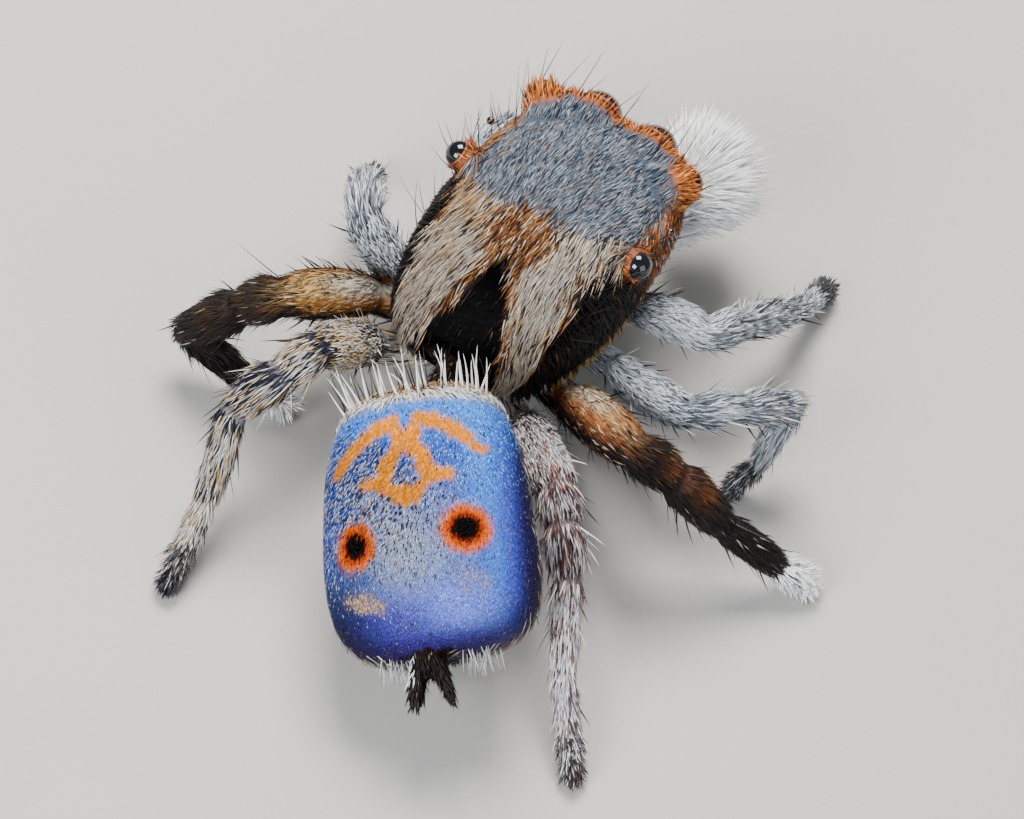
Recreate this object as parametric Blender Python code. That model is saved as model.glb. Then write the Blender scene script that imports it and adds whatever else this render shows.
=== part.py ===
"""Peacock spider, a still life-size model standing on its eight feet.

The shapes are worked out in millimetres and written to the meshes in metres.
x runs to the spider's left, y to its rear and z up, with the floor at z = 0.
"""
import math
import random

import bmesh
import bpy
from mathutils import Matrix, Vector
from mathutils.bvhtree import BVHTree

MM = 0.001
GAP = 0.03
SIDES = ("left", "right")
PAIRS = (1, 2, 3, 4)
SEED = 41
WELD_STEPS = (1.5e-3, 1e-3, 5e-4, 1e-4, 1e-6)
LOCK_SIDES = 3

# Carapace stations: y, half width, top z, widest z, bottom z.
CARAPACE = (
    (-1.15, 0.44, 1.48, 1.22, 0.94),
    (-1.08, 0.60, 1.57, 1.18, 0.82),
    (-0.85, 0.73, 1.64, 1.12, 0.70),
    (-0.45, 0.80, 1.71, 1.08, 0.62),
    (0.00, 0.83, 1.73, 1.06, 0.60),
    (0.40, 0.80, 1.69, 1.05, 0.60),
    (0.75, 0.73, 1.54, 1.02, 0.62),
    (1.00, 0.61, 1.32, 0.98, 0.66),
    (1.14, 0.45, 1.14, 0.95, 0.72),
    (1.20, 0.31, 1.05, 0.93, 0.78),
)
CARAPACE_RINGS = 19
CARAPACE_SIDES = 30
CARAPACE_POWER = 2.8
CARAPACE_TOP = 1.8

# Sternum block under the carapace: centre and half sizes.
STERNUM_CENTRE = Vector((0.0, 0.22, 0.50))
STERNUM_HALF = Vector((0.29, 0.78, 0.19))

# Eyes: name, centre on the left side, radius and the way it looks.
EYES = (
    ("front_middle", (0.245, -1.09, 1.41), 0.20, (0.05, -1.0, 0.0)),
    ("front_side", (0.63, -0.95, 1.48), 0.12, (0.55, -0.8, 0.1)),
    ("rear_middle", (0.79, -0.45, 1.52), 0.032, (0.9, -0.1, 0.4)),
    ("rear_side", (0.78, 0.00, 1.56), 0.105, (0.85, 0.25, 0.45)),
)
EYE_GAP = 0.02
EYE_RIM = 0.04
# Hairs and spines keep this far off every node but their own.
HAIR_CLEARANCE = 0.02
# Direction and step of the ray that tells inside from outside.
PROBE = Vector((0.32, 0.57, 0.75)).normalized()
PROBE_STEP = 1e-5
# Eyes above this radius get finer balls and sockets.
LARGE_EYE = 0.15
SMALL_EYE = 0.10

# Head bristles: how many along each side, at the front edge and over the top, and their lengths.
SIDE_BRISTLES = 9
SIDE_BRISTLE_LENGTH = (0.30, 0.48)
FRONT_BRISTLES = 6
FRONT_BRISTLE_LENGTH = (0.24, 0.36)
FRONT_BRISTLE_SPREAD = 0.42
FRONT_BRISTLE_Y = -0.96
TOP_BRISTLES = (
    (-0.50, -0.62), (-0.26, -0.86), (0.02, -0.90), (0.28, -0.84), (0.52, -0.60), (-0.62, -0.12),
    (0.62, -0.10),
)
TOP_BRISTLE_LENGTH = 0.44
BRISTLE_RADIUS = 0.016
BRISTLE_SINK = 0.03
FRINGE_LOCKS = 8
FRINGE_LENGTH = (0.16, 0.20)
FRINGE_RADIUS = 0.045

# Abdomen: its own axes, turned to the spider's right, sloping down and rolled.
ABDOMEN_CENTRE = Vector((-0.748, 2.513, 0.974))
ABDOMEN_REAR = Vector((-0.609, 0.770, -0.190)).normalized()
ABDOMEN_UP = Vector((0.2165, 0.399, 0.890))
ABDOMEN_HALF_LENGTH = 1.01
# Abdomen stations: share of the half length, half width, height above, height below, shift to the left.
ABDOMEN = (
    (-1.00, 0.38, 0.24, 0.22, 0.02),
    (-0.95, 0.49, 0.36, 0.32, 0.02),
    (-0.82, 0.60, 0.50, 0.43, 0.02),
    (-0.50, 0.71, 0.58, 0.54, 0.03),
    (0.00, 0.765, 0.60, 0.60, 0.03),
    (0.45, 0.785, 0.56, 0.57, 0.02),
    (0.75, 0.73, 0.46, 0.48, 0.02),
    (0.90, 0.61, 0.34, 0.37, 0.02),
    (0.97, 0.46, 0.23, 0.26, 0.02),
    (1.00, 0.31, 0.15, 0.17, 0.02),
)
ABDOMEN_RINGS = 17
ABDOMEN_SIDES = 28
ABDOMEN_POWER = 2.4
PEDICEL_RADIUS = 0.075
PEDICEL_Z = 0.91
# Front crest and back bristles and rear tufts: how many, and half the angle that they span.
CREST_BRISTLES = 13
CREST_ANGLE = 62
CREST_LENGTH = (0.22, 0.36)
CREST_RADIUS = 0.020
BACK_BRISTLES = 7
BACK_ANGLE = 75
BACK_BRISTLE_LENGTH = 0.20
BACK_BRISTLE_RADIUS = 0.014
REAR_LOCKS = 5
REAR_LOCK_LENGTH = (0.22, 0.30)
REAR_LOCK_RADIUS = 0.034

# Spinnerets: height on the base, length and radius of each pair.
SPINNERET_SHIFT = 0.09
SPINNERETS = ((-0.05, 0.30, 0.055), (0.02, 0.22, 0.04), (0.07, 0.34, 0.05))
SPINNERET_SIDE = 0.065

# Jaws: points and radii down the left one.
JAW = (
    (0.18, -0.93, 0.66), (0.192, -1.01, 0.60), (0.20, -1.03, 0.54), (0.184, -1.00, 0.35),
    (0.17, -0.98, 0.20),
)
JAW_RADII = (0.115, 0.16, 0.165, 0.14, 0.08)

# Legs: root of the coxae at the sternum, thickness and how far each thigh arches up or sags.
COXA_X = 0.335
COXA_Z = 0.42
COXA_Y = {1: -0.40, 2: 0.02, 3: 0.44, 4: 0.86}
LEG_THICKNESS = {1: 0.90, 2: 0.87, 3: 1.08, 4: 1.02}
FEMUR_RISE = {1: 0.03, 2: -0.05, 3: 0.02, 4: 0.02}

# Pose: hip, knee, patella, shin, wrist and foot of each leg as seen in the photo, hidden ones
# from the species.
POSE = {
    ("left", 1): (
        (0.72, -0.52, 0.42), (0.95, -0.82, 0.67), (0.92, -1.04, 0.68), (0.89, -1.34, 0.45),
        (0.79, -1.57, 0.23), (0.71, -1.75, 0.0),
    ),
    ("left", 2): (
        (0.86, 0.30, 0.42), (1.12, 0.65, 1.17), (1.26, 0.41, 1.13), (1.45, -0.08, 0.60),
        (1.55, -0.36, 0.25), (1.62, -0.55, 0.0),
    ),
    ("left", 3): (
        (0.88, 0.68, 0.46), (1.18, 1.59, 1.10), (1.42, 1.68, 0.86), (1.74, 1.80, 0.42), (1.28, 1.74, 0.20),
        (0.92, 1.66, 0.0),
    ),
    ("left", 4): (
        (0.63, 1.05, 0.46), (0.70, 1.85, 1.16), (0.79, 2.16, 1.11), (0.96, 2.47, 0.86), (0.80, 2.98, 0.40),
        (0.69, 3.55, 0.0),
    ),
    ("right", 1): (
        (-0.70, -0.52, 0.45), (-1.31, -0.37, 0.82), (-1.47, -0.67, 0.77), (-1.59, -1.24, 0.45),
        (-1.61, -1.56, 0.24), (-1.60, -1.90, 0.0),
    ),
    ("right", 2): (
        (-0.82, 0.04, 0.46), (-1.63, 0.41, 0.95), (-1.90, 0.17, 0.97), (-2.12, -0.32, 0.70),
        (-2.11, -0.03, 0.32), (-2.03, 0.17, 0.0),
    ),
    ("right", 3): (
        (-0.77, 0.57, 0.50), (-1.52, 1.13, 1.16), (-1.83, 1.02, 0.98), (-2.26, 0.86, 0.62),
        (-2.69, 0.65, 0.27), (-2.90, 0.51, 0.0),
    ),
    ("right", 4): (
        (-0.64, 0.99, 0.52), (-1.27, 1.69, 1.02), (-1.44, 1.87, 0.98), (-1.68, 2.11, 0.80),
        (-2.03, 2.58, 0.42), (-2.48, 3.05, 0.0),
    ),
}
FEMUR_RADII = (0.13, 0.14, 0.145, 0.185, 0.195, 0.165)
TIBIA_RADII = (0.165, 0.17, 0.145, 0.165, 0.155, 0.125)
TARSUS_RADII = (0.122, 0.118, 0.098, 0.088, 0.066)
LEG_SIDES = 10
HEEL_HEIGHT = 0.09
FOOT_RADIUS = 0.06
LEG_SPINES = {"femur": 5, "shank": 7, "foot": 5}
SPINE_LENGTH = (0.16, 0.26)
SPINE_RADIUS = 0.018
SPINE_FLOOR = 0.05
# Hair pad of a foot: number of locks, length and radius.
PAD = (5, 0.09, 0.026)
WHITE_PAD = (12, 0.15, 0.040)

# Palps: root, elbow and tip. The right one is lifted outward, the left one hangs.
PALPS = {
    "left": ((0.47, -0.84, 0.50), (0.52, -1.24, 0.70), (0.42, -1.42, 0.38)),
    "right": ((-0.47, -0.86, 0.46), (-0.53, -1.37, 0.96), (-0.45, -1.60, 0.78)),
}
PALP_RADII = (0.10, 0.12, 0.14, 0.15, 0.15, 0.10)
PALP_REACH = {"left": 0.6, "right": 1.0}
PALP_ROWS = 4
PALP_LOCKS = 8
PALP_LOCK_LENGTH = (0.36, 0.50)
PALP_LOCK_RADIUS = 0.042

COLOURS = {
    "cuticle": (0.02, 0.018, 0.02, 1.0),
    "head": (0.24, 0.27, 0.31, 1.0),
    "eye": (0.01, 0.01, 0.012, 1.0),
    "abdomen": (0.16, 0.24, 0.62, 1.0),
    "white": (0.85, 0.84, 0.82, 1.0),
    "leg": (0.42, 0.38, 0.33, 1.0),
    "dark_leg": (0.12, 0.08, 0.05, 1.0),
}
# Colour and roughness of each kind of node.
LOOKS = {
    "prosoma": ("head", 0.6),
    "eye": ("eye", 0.08),
    "opisthosoma": ("abdomen", 0.4),
    "spinnerets": ("cuticle", 0.5),
    "chelicera": ("dark_leg", 0.35),
    "palp": ("white", 0.7),
    "leg1": ("leg", 0.6),
    "leg2": ("leg", 0.6),
    "leg3": ("dark_leg", 0.6),
    "leg4": ("leg", 0.6),
}
WHITE_FEET = "leg3"


def clear_scene():
    """Remove whatever the file opened with."""
    for obj in list(bpy.data.objects):
        bpy.data.objects.remove(obj, do_unlink=True)


def material(name, roughness):
    """Give the plain material of that colour."""
    found = bpy.data.materials.get(name)
    if found:
        return found
    made = bpy.data.materials.new(name)
    made.use_nodes = True
    shader = made.node_tree.nodes["Principled BSDF"]
    shader.inputs["Base Color"].default_value = COLOURS[name]
    shader.inputs["Roughness"].default_value = roughness
    return made


def blend(table, place):
    """Read a smooth curve through the rows of a table at the first column's value."""
    last = len(table) - 1
    index = 0
    while index < last - 1 and place > table[index + 1][0]:
        index += 1
    low, high = table[index], table[index + 1]
    before, after = table[max(index - 1, 0)], table[min(index + 2, last)]
    span = high[0] - low[0]
    t = min(max((place - low[0]) / span, 0.0), 1.0)
    values = []
    for k in range(1, len(low)):
        slope_low = (high[k] - before[k]) / (high[0] - before[0]) * span
        slope_high = (after[k] - low[k]) / (after[0] - low[0]) * span
        values.append(
            low[k] * (2 * t**3 - 3 * t**2 + 1)
            + slope_low * (t**3 - 2 * t**2 + t)
            + high[k] * (3 * t**2 - 2 * t**3)
            + slope_high * (t**3 - t**2)
        )
    return values


def section(angle, half_width, above, below, power):
    """Give the side and height of a rounded-square section, from the top round by the left."""
    side, up = math.sin(angle), math.cos(angle)
    x = half_width * math.copysign(abs(side) ** (2 / power), side)
    height = above if up > 0 else below
    return x, height * math.copysign(abs(up) ** (2 / power), up)


def loft(name, rings):
    """Skin closed rings of points and close both ends with a fan."""
    bm = bmesh.new()
    rows = [[bm.verts.new(point) for point in ring] for ring in rings]
    count = len(rows[0])
    for low, high in zip(rows, rows[1:]):
        for k in range(count):
            n = (k + 1) % count
            bm.faces.new((low[k], low[n], high[n], high[k]))
    for row, flip in ((rows[0], True), (rows[-1], False)):
        middle = bm.verts.new(sum((v.co for v in row), Vector()) / count)
        for k in range(count):
            n = (k + 1) % count
            edge = (row[n], row[k]) if flip else (row[k], row[n])
            bm.faces.new((*edge, middle))
    bmesh.ops.recalc_face_normals(bm, faces=bm.faces[:])
    if bm.calc_volume(signed=True) < 0:
        bmesh.ops.reverse_faces(bm, faces=bm.faces[:])
    mesh = bpy.data.meshes.new(name)
    bm.to_mesh(mesh)
    bm.free()
    obj = bpy.data.objects.new(name, mesh)
    bpy.context.scene.collection.objects.link(obj)
    return obj


def ball(name, centre, half, detail=2):
    """Make an ellipsoid of triangles."""
    bm = bmesh.new()
    bmesh.ops.create_icosphere(bm, subdivisions=detail, radius=1.0)
    half = Vector(half)
    for vertex in bm.verts:
        vertex.co = Vector(centre) + Vector(a * b for a, b in zip(vertex.co, half))
    mesh = bpy.data.meshes.new(name)
    bm.to_mesh(mesh)
    bm.free()
    obj = bpy.data.objects.new(name, mesh)
    bpy.context.scene.collection.objects.link(obj)
    return obj


def across(direction):
    """Give a unit vector square to the direction, level where it can be."""
    side = direction.cross(Vector((0, 0, 1)))
    if side.length < 1e-3:
        side = Vector((1, 0, 0))
    return side.normalized()


def sweep_rings(points, radii, sides, first=None, final=None, flatten=1.0):
    """Give the rings of a tube along points, its ends square to the given directions."""
    rings = []
    last = len(points) - 1
    side = None
    for k, point in enumerate(points):
        tangent = (points[min(k + 1, last)] - points[max(k - 1, 0)]).normalized()
        if k == 0 and first is not None:
            tangent = first.normalized()
        if k == last and final is not None:
            tangent = final.normalized()
        side = across(tangent) if side is None else (side - tangent * side.dot(tangent)).normalized()
        other = tangent.cross(side)
        ring = []
        for s in range(sides):
            angle = 2 * math.pi * s / sides
            ring.append(
                point
                + side * math.cos(angle) * radii[k]
                + other * math.sin(angle) * radii[k] * flatten
            )
        rings.append(ring)
    return rings


def inside(tree, point):
    """Tell whether the point lies inside a closed surface, by the times a ray from it crosses it."""
    crossings = 0
    hit = tree.ray_cast(point, PROBE)[0]
    while hit is not None:
        crossings += 1
        hit = tree.ray_cast(hit + PROBE * PROBE_STEP, PROBE)[0]
    return crossings % 2 == 1


def keeps_off(trees, node, points, radii):
    """Tell whether a hair along the points keeps off every node but its own."""
    tests = list(zip(points, radii))
    for (low, wide), (high, narrow) in zip(tests[:-1], tests[1:]):
        tests.append((low.lerp(high, 0.5), (wide + narrow) / 2))
    for other, tree in trees.items():
        if other == node:
            continue
        for point, radius in tests:
            if tree.find_nearest(point)[3] < radius + HAIR_CLEARANCE or inside(tree, point):
                return False
    return True


def lock(trees, node, root, aim, bend, length, radius):
    """List one tapered hair lock or spine of the node that curves from aim towards bend.

    The list stays empty where the lock would come near another node.
    """
    aim, bend = Vector(aim).normalized(), Vector(bend).normalized()
    middle = root + (aim * 0.8 + bend * 0.2).normalized() * length * 0.5
    tip = middle + (aim * 0.35 + bend * 0.65).normalized() * length * 0.5
    points = [root, middle, tip]
    radii = (radius, radius * 0.72, radius * 0.12)
    if not keeps_off(trees, node, points, radii):
        return []
    return [loft("lock", sweep_rings(points, radii, LOCK_SIDES, first=aim))]


def fuse(obj, pieces):
    """Join the pieces to the object in one union and keep its largest closed surface."""
    if pieces:
        group = bpy.data.collections.new(obj.name + "_pieces")
        bpy.context.scene.collection.children.link(group)
        for piece in pieces:
            bpy.context.scene.collection.objects.unlink(piece)
            group.objects.link(piece)
        join = obj.modifiers.new("join", "BOOLEAN")
        join.operation = "UNION"
        join.operand_type = "COLLECTION"
        join.collection = group
        join.solver = "MANIFOLD"
        apply_modifiers(obj)
        for piece in list(group.objects):
            bpy.data.objects.remove(piece, do_unlink=True)
        bpy.data.collections.remove(group)
    keep_largest(obj)


def cut(obj, pieces):
    """Take the pieces out of the object."""
    for piece in pieces:
        carve = obj.modifiers.new("cut", "BOOLEAN")
        carve.operation = "DIFFERENCE"
        carve.object = piece
    apply_modifiers(obj)
    for piece in pieces:
        bpy.data.objects.remove(piece, do_unlink=True)
    keep_largest(obj)


def apply_modifiers(obj):
    """Replace the object's mesh by the mesh that its modifiers give."""
    depsgraph = bpy.context.evaluated_depsgraph_get()
    mesh = bpy.data.meshes.new_from_object(obj.evaluated_get(depsgraph))
    obj.modifiers.clear()
    obj.data = mesh


def welded(mesh):
    """Give the mesh as triangles, its closest points welded as far as it stays closed."""
    for distance in WELD_STEPS:
        bm = bmesh.new()
        bm.from_mesh(mesh)
        bmesh.ops.triangulate(bm, faces=bm.faces[:])
        bmesh.ops.remove_doubles(bm, verts=bm.verts[:], dist=distance)
        bmesh.ops.dissolve_degenerate(bm, dist=distance, edges=bm.edges[:])
        bmesh.ops.triangulate(bm, faces=bm.faces[:])
        if all(len(edge.link_faces) == 2 for edge in bm.edges):
            return bm
        print("weld", distance, "leaves", mesh.name, "open")
        bm.free()
    raise RuntimeError("no closed mesh for " + mesh.name)


def keep_largest(obj):
    """Drop every closed surface but the one with the largest volume."""
    bm = welded(obj.data)
    waiting = set(bm.faces)
    best, best_volume = None, 0.0
    while waiting:
        start = waiting.pop()
        island, stack = {start}, [start]
        while stack:
            for edge in stack.pop().edges:
                for face in edge.link_faces:
                    if face in waiting:
                        waiting.discard(face)
                        island.add(face)
                        stack.append(face)
        volume = sum(
            f.verts[0].co.dot(f.verts[1].co.cross(f.verts[2].co)) / 6 for f in island
        )
        if volume > best_volume:
            best, best_volume = island, volume
    bmesh.ops.delete(bm, geom=[f for f in bm.faces if f not in best], context="FACES")
    bm.to_mesh(obj.data)
    bm.free()


def surface(obj):
    """Give a searchable copy of the object's faces."""
    bm = bmesh.new()
    bm.from_mesh(obj.data)
    tree = BVHTree.FromBMesh(bm)
    bm.free()
    return tree


def rooted(tree, guess, sink):
    """Give the nearest point on the surface, sunk by that depth, and the normal there."""
    point, normal, _, _ = tree.find_nearest(Vector(guess))
    return point - normal * sink, normal


def finish(obj):
    """Scale the shape to metres and give it its material."""
    kind = obj.name.split("_")[0]
    colour, roughness = LOOKS[kind]
    if kind == WHITE_FEET and obj.name.endswith("foot"):
        colour = "white"
    obj.data.transform(Matrix.Scale(MM, 4))
    obj.data.materials.clear()
    obj.data.materials.append(material(colour, roughness))


def carapace_rings():
    """Give the rings of the carapace from front to rear."""
    first, last = CARAPACE[0][0], CARAPACE[-1][0]
    rings = []
    for k in range(CARAPACE_RINGS):
        share = k / (CARAPACE_RINGS - 1)
        # The rings crowd towards both ends, where the outline turns in.
        y = first + (last - first) * (0.5 - 0.5 * math.cos(math.pi * share))
        half_width, top, widest, bottom = blend(CARAPACE, y)
        ring = []
        for s in range(CARAPACE_SIDES):
            angle = 2 * math.pi * s / CARAPACE_SIDES
            x, z = section(angle, half_width, top - widest, widest - bottom, CARAPACE_POWER)
            ring.append(Vector((x, y, widest + z)))
        rings.append(ring)
    return rings


def mirrored(point, side):
    """Give the point on that side of the body."""
    x, y, z = point
    return Vector((x if side == "left" else -x, y, z))


def make_prosoma():
    """Build the head and thorax in one piece with its eye sockets."""
    body = loft("prosoma", carapace_rings())
    rims = []
    sockets = []
    for _, centre, radius, gaze in EYES:
        for side in SIDES:
            place = mirrored(centre, side)
            behind = place - mirrored(gaze, side).normalized() * radius * 0.5
            rims.append(ball("rim", behind, (radius + EYE_RIM,) * 3))
            sockets.append(ball("socket", place, (radius + EYE_GAP,) * 3, 3 if radius > SMALL_EYE else 2))
    rims.append(ball("sternum", STERNUM_CENTRE, STERNUM_HALF))
    fuse(body, rims)
    cut(body, sockets)
    return body


def head_bristles(trees, rng):
    """List the bristles round and over the head and the fringe under its cheeks."""
    node = "prosoma"
    tree = trees[node]
    hairs = []
    for side in SIDES:
        for k in range(SIDE_BRISTLES):
            share = (k + 0.5) / SIDE_BRISTLES
            guess = mirrored((0.82, -1.0 + 2.0 * share, 1.62), side)
            root, normal = rooted(tree, guess, BRISTLE_SINK)
            lean = Vector((0, -0.9 + 0.8 * share, 0.5 + rng.uniform(-0.1, 0.3)))
            size = rng.uniform(*SIDE_BRISTLE_LENGTH)
            hairs += lock(trees, node, root, normal + lean * 0.5, lean, size, BRISTLE_RADIUS)
        for k in range(FRINGE_LOCKS):
            share = (k + 0.5) / FRINGE_LOCKS
            root, normal = rooted(tree, mirrored((0.80, -0.95 + 1.35 * share, 0.74), side), 0.05)
            down = Vector((0, -0.25, -1.0))
            size = rng.uniform(*FRINGE_LENGTH)
            hairs += lock(trees, node, root, normal * 0.8 + down, down, size, FRINGE_RADIUS)
    for k in range(FRONT_BRISTLES):
        share = k / (FRONT_BRISTLES - 1)
        guess = (FRONT_BRISTLE_SPREAD * (2 * share - 1), FRONT_BRISTLE_Y, CARAPACE_TOP)
        root, normal = rooted(tree, guess, BRISTLE_SINK)
        aim = Vector((root.x * 0.6, -0.6, 0.8))
        size = rng.uniform(*FRONT_BRISTLE_LENGTH)
        hairs += lock(trees, node, root, aim, aim + Vector((0, -0.5, 0.1)), size, BRISTLE_RADIUS)
    for x, y in TOP_BRISTLES:
        root, normal = rooted(tree, (x, y, CARAPACE_TOP), BRISTLE_SINK)
        aim = Vector((x * 0.4, -0.35, 1.0))
        bend = aim + Vector((0, -0.5, 0))
        hairs += lock(trees, node, root, aim, bend, TOP_BRISTLE_LENGTH, BRISTLE_RADIUS)
    return hairs


def make_eyes():
    """Build the eight eyes as balls in their sockets."""
    eyes = []
    for name, centre, radius, _ in EYES:
        for side in SIDES:
            detail = 3 if radius > LARGE_EYE else 2
            eyes.append(ball(f"eye_{name}_{side}", mirrored(centre, side), (radius,) * 3, detail))
    return eyes


def abdomen_axes():
    """Give the abdomen's rearward, leftward and upward directions."""
    rear = ABDOMEN_REAR
    up = (ABDOMEN_UP - rear * ABDOMEN_UP.dot(rear)).normalized()
    return rear, up.cross(-rear), up


def abdomen_place(share, angle):
    """Give a point of the abdomen's surface."""
    rear, left, up = abdomen_axes()
    half_width, above, below, shift = blend(ABDOMEN, share)
    x, z = section(angle, half_width, above, below, ABDOMEN_POWER)
    return ABDOMEN_CENTRE + rear * share * ABDOMEN_HALF_LENGTH + left * (x + shift) + up * z


def make_abdomen():
    """Build the abdomen with its waist."""
    rings = []
    for k in range(ABDOMEN_RINGS):
        share = -math.cos(math.pi * k / (ABDOMEN_RINGS - 1))
        rings.append(
            [abdomen_place(share, 2 * math.pi * s / ABDOMEN_SIDES) for s in range(ABDOMEN_SIDES)]
        )
    body = loft("opisthosoma", rings)
    rear, left, up = abdomen_axes()
    waist_start = Vector((0.0, CARAPACE[-1][0] + GAP, PEDICEL_Z))
    waist_end = ABDOMEN_CENTRE - rear * ABDOMEN_HALF_LENGTH * 0.8 - up * 0.12
    middle = waist_start.lerp(waist_end, 0.35) + Vector((0, 0, -0.01))
    rings = sweep_rings(
        [waist_start, middle, waist_end],
        (PEDICEL_RADIUS, PEDICEL_RADIUS * 0.9, PEDICEL_RADIUS * 1.8),
        10,
        first=Vector((0, 1, 0)),
    )
    fuse(body, [loft("waist", rings)])
    return body


def abdomen_locks(trees, rng):
    """List the front crest of bristles, the bristles behind it and the rear tufts."""
    node = "opisthosoma"
    tree = trees[node]
    rear, left, up = abdomen_axes()
    pieces = []
    for k in range(CREST_BRISTLES):
        turn = CREST_ANGLE * (2 * k / (CREST_BRISTLES - 1) - 1)
        angle = math.radians(turn + rng.uniform(-3, 3))
        root, normal = rooted(tree, abdomen_place(-0.93, angle), 0.03)
        aim = up * 1.1 - rear * 0.75 + normal * 0.3 + left * math.sin(angle) * 0.3
        size = rng.uniform(*CREST_LENGTH)
        bend = aim - rear * rng.uniform(-0.3, 0.9)
        pieces += lock(trees, node, root, aim, bend, size, CREST_RADIUS)
    for k in range(BACK_BRISTLES):
        angle = math.radians(BACK_ANGLE * (2 * k / (BACK_BRISTLES - 1) - 1))
        root, normal = rooted(tree, abdomen_place(-0.62 + 0.1 * (k % 2), angle), 0.02)
        pieces += lock(
            trees, node, root, up - rear * 0.7, up * 0.4 - rear, BACK_BRISTLE_LENGTH, BACK_BRISTLE_RADIUS
        )
    for side in (-1, 1):
        for k in range(REAR_LOCKS):
            angle = math.radians(side * (100 + 14 * k))
            root, normal = rooted(tree, abdomen_place(0.9, angle), 0.05)
            aim = rear * 0.9 + normal * 0.7 - up * 0.2
            size = rng.uniform(*REAR_LOCK_LENGTH)
            pieces += lock(trees, node, root, aim, rear - up * 0.6, size, REAR_LOCK_RADIUS)
    return pieces


def make_spinnerets():
    """Build the six spinnerets on one small base behind the abdomen."""
    rear, left, up = abdomen_axes()
    start = ABDOMEN_CENTRE + rear * (ABDOMEN_HALF_LENGTH + GAP) + left * SPINNERET_SHIFT
    rings = sweep_rings(
        [start, start + rear * 0.07, start + rear * 0.13],
        (0.15, 0.14, 0.08),
        12,
        first=rear,
        final=rear,
    )
    body = loft("spinnerets", rings)
    pieces = []
    for side in (-1, 1):
        for height, length, radius in SPINNERETS:
            root = start + rear * 0.04 + left * side * SPINNERET_SIDE + up * height
            aim = rear + left * side * 0.22 + up * height * 1.5 - up * 0.25
            tip = root + aim.normalized() * length
            middle = root.lerp(tip, 0.6)
            rings = sweep_rings([root, middle, tip], (radius, radius, radius * 0.45), 6)
            pieces.append(loft("spinneret", rings))
    fuse(body, pieces)
    return body


def make_chelicera(side):
    """Build one jaw under the front face."""
    points = [mirrored(point, side) for point in JAW]
    rings = sweep_rings(points, JAW_RADII, 12)
    return loft(f"chelicera_{side}", rings)


def make_palp(side):
    """Build one palp, a bent limb."""
    root, elbow, tip = (Vector(p) for p in PALPS[side])
    swell = elbow.lerp(tip, 0.55) + Vector((0, -0.05, 0.02))
    points = [root, root.lerp(elbow, 0.5) + Vector((0, 0, 0.02)), elbow, elbow.lerp(tip, 0.3), swell, tip]
    return loft(f"palp_{side}", sweep_rings(points, PALP_RADII, 12))


def palp_brush(side, trees, rng):
    """List the long white locks of one palp."""
    _, elbow, tip = (Vector(p) for p in PALPS[side])
    node = f"palp_{side}"
    pieces = []
    out = 1 if side == "left" else -1
    for row in range(PALP_ROWS):
        lift = math.radians(55 - 75 * row / (PALP_ROWS - 1))
        along = elbow.lerp(tip, row / PALP_ROWS + 0.08)
        for k in range(PALP_LOCKS):
            # The fan opens from a little inward of straight ahead to straight out.
            turn = math.radians(-30 + 135 * (k + 0.5 * (row % 2)) / (PALP_LOCKS - 1) + rng.uniform(-5, 5))
            fan = Vector((out * math.sin(turn), -math.cos(turn), 0)) * math.cos(lift)
            fan.z = math.sin(lift)
            start, normal = rooted(trees[node], along + fan * 0.16, 0.05)
            bend = fan + Vector((0, -0.3, -0.1))
            size = PALP_REACH[side] * rng.uniform(*PALP_LOCK_LENGTH)
            pieces += lock(trees, node, start, normal * 0.5 + fan, bend, size, PALP_LOCK_RADIUS)
    return pieces


def leg_points(side, pair):
    """Give the joints of one leg from its root to its foot."""
    start = mirrored((COXA_X, COXA_Y[pair], COXA_Z), side)
    return [start] + [Vector(point) for point in POSE[(side, pair)]]


def arched(low, high, share, rise):
    """Give a point between two joints, lifted a little."""
    return low.lerp(high, share) + Vector((0, 0, rise))


def leg_parts(side, pair):
    """List the node name, points, radii and end directions of the three nodes of one leg."""
    start, hip, knee, patella, shin, wrist, foot = leg_points(side, pair)
    rise = FEMUR_RISE[pair]
    # Each node ends short of its joint, so that the next one meets it face to face.
    turn = ((patella - knee).normalized() + (knee - hip).normalized()).normalized()
    bend = ((wrist - shin).normalized() + (shin - patella).normalized()).normalized()
    femur = [
        start,
        start.lerp(hip, 0.6),
        hip,
        arched(hip, knee, 0.25, rise),
        arched(hip, knee, 0.65, rise),
        knee - turn * GAP / 2,
    ]
    shank = [
        knee + turn * GAP / 2,
        arched(knee, patella, 0.55, 0.02),
        patella,
        arched(patella, shin, 0.3, 0.02),
        arched(patella, shin, 0.7, 0.01),
        shin - bend * GAP / 2,
    ]
    heel = foot + Vector((0, 0, HEEL_HEIGHT))
    toe = [shin + bend * GAP / 2, shin.lerp(wrist, 0.6), wrist, wrist.lerp(heel, 0.55), heel, foot]
    inward = Vector((1 if side == "left" else -1, 0, 0))
    specs = (
        ("femur", femur, FEMUR_RADII, inward, turn),
        ("shank", shank, TIBIA_RADII, turn, bend),
        ("foot", toe, TARSUS_RADII + (FOOT_RADIUS,), bend, Vector((0, 0, -1))),
    )
    scale = LEG_THICKNESS[pair]
    return [
        (f"leg{pair}_{side}_{part}", points, [r * scale for r in radii], first, final)
        for part, points, radii, first, final in specs
    ]


def make_leg(side, pair):
    """Build one leg as femur, shank and foot nodes."""
    return [
        loft(node, sweep_rings(points, thick, LEG_SIDES, first=first, final=final))
        for node, points, thick, first, final in leg_parts(side, pair)
    ]


def leg_locks(side, pair, trees, rng):
    """List the spines and the foot hairs of one leg by node."""
    hairs = {}
    for node, points, thick, _, _ in leg_parts(side, pair):
        hairs[node] = leg_spines(trees, node, points, thick, rng)
        if node.endswith("foot"):
            wrist, foot = leg_points(side, pair)[-2:]
            hairs[node] += foot_tuft(trees, node, wrist, foot, pair, rng)
    return hairs


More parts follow.
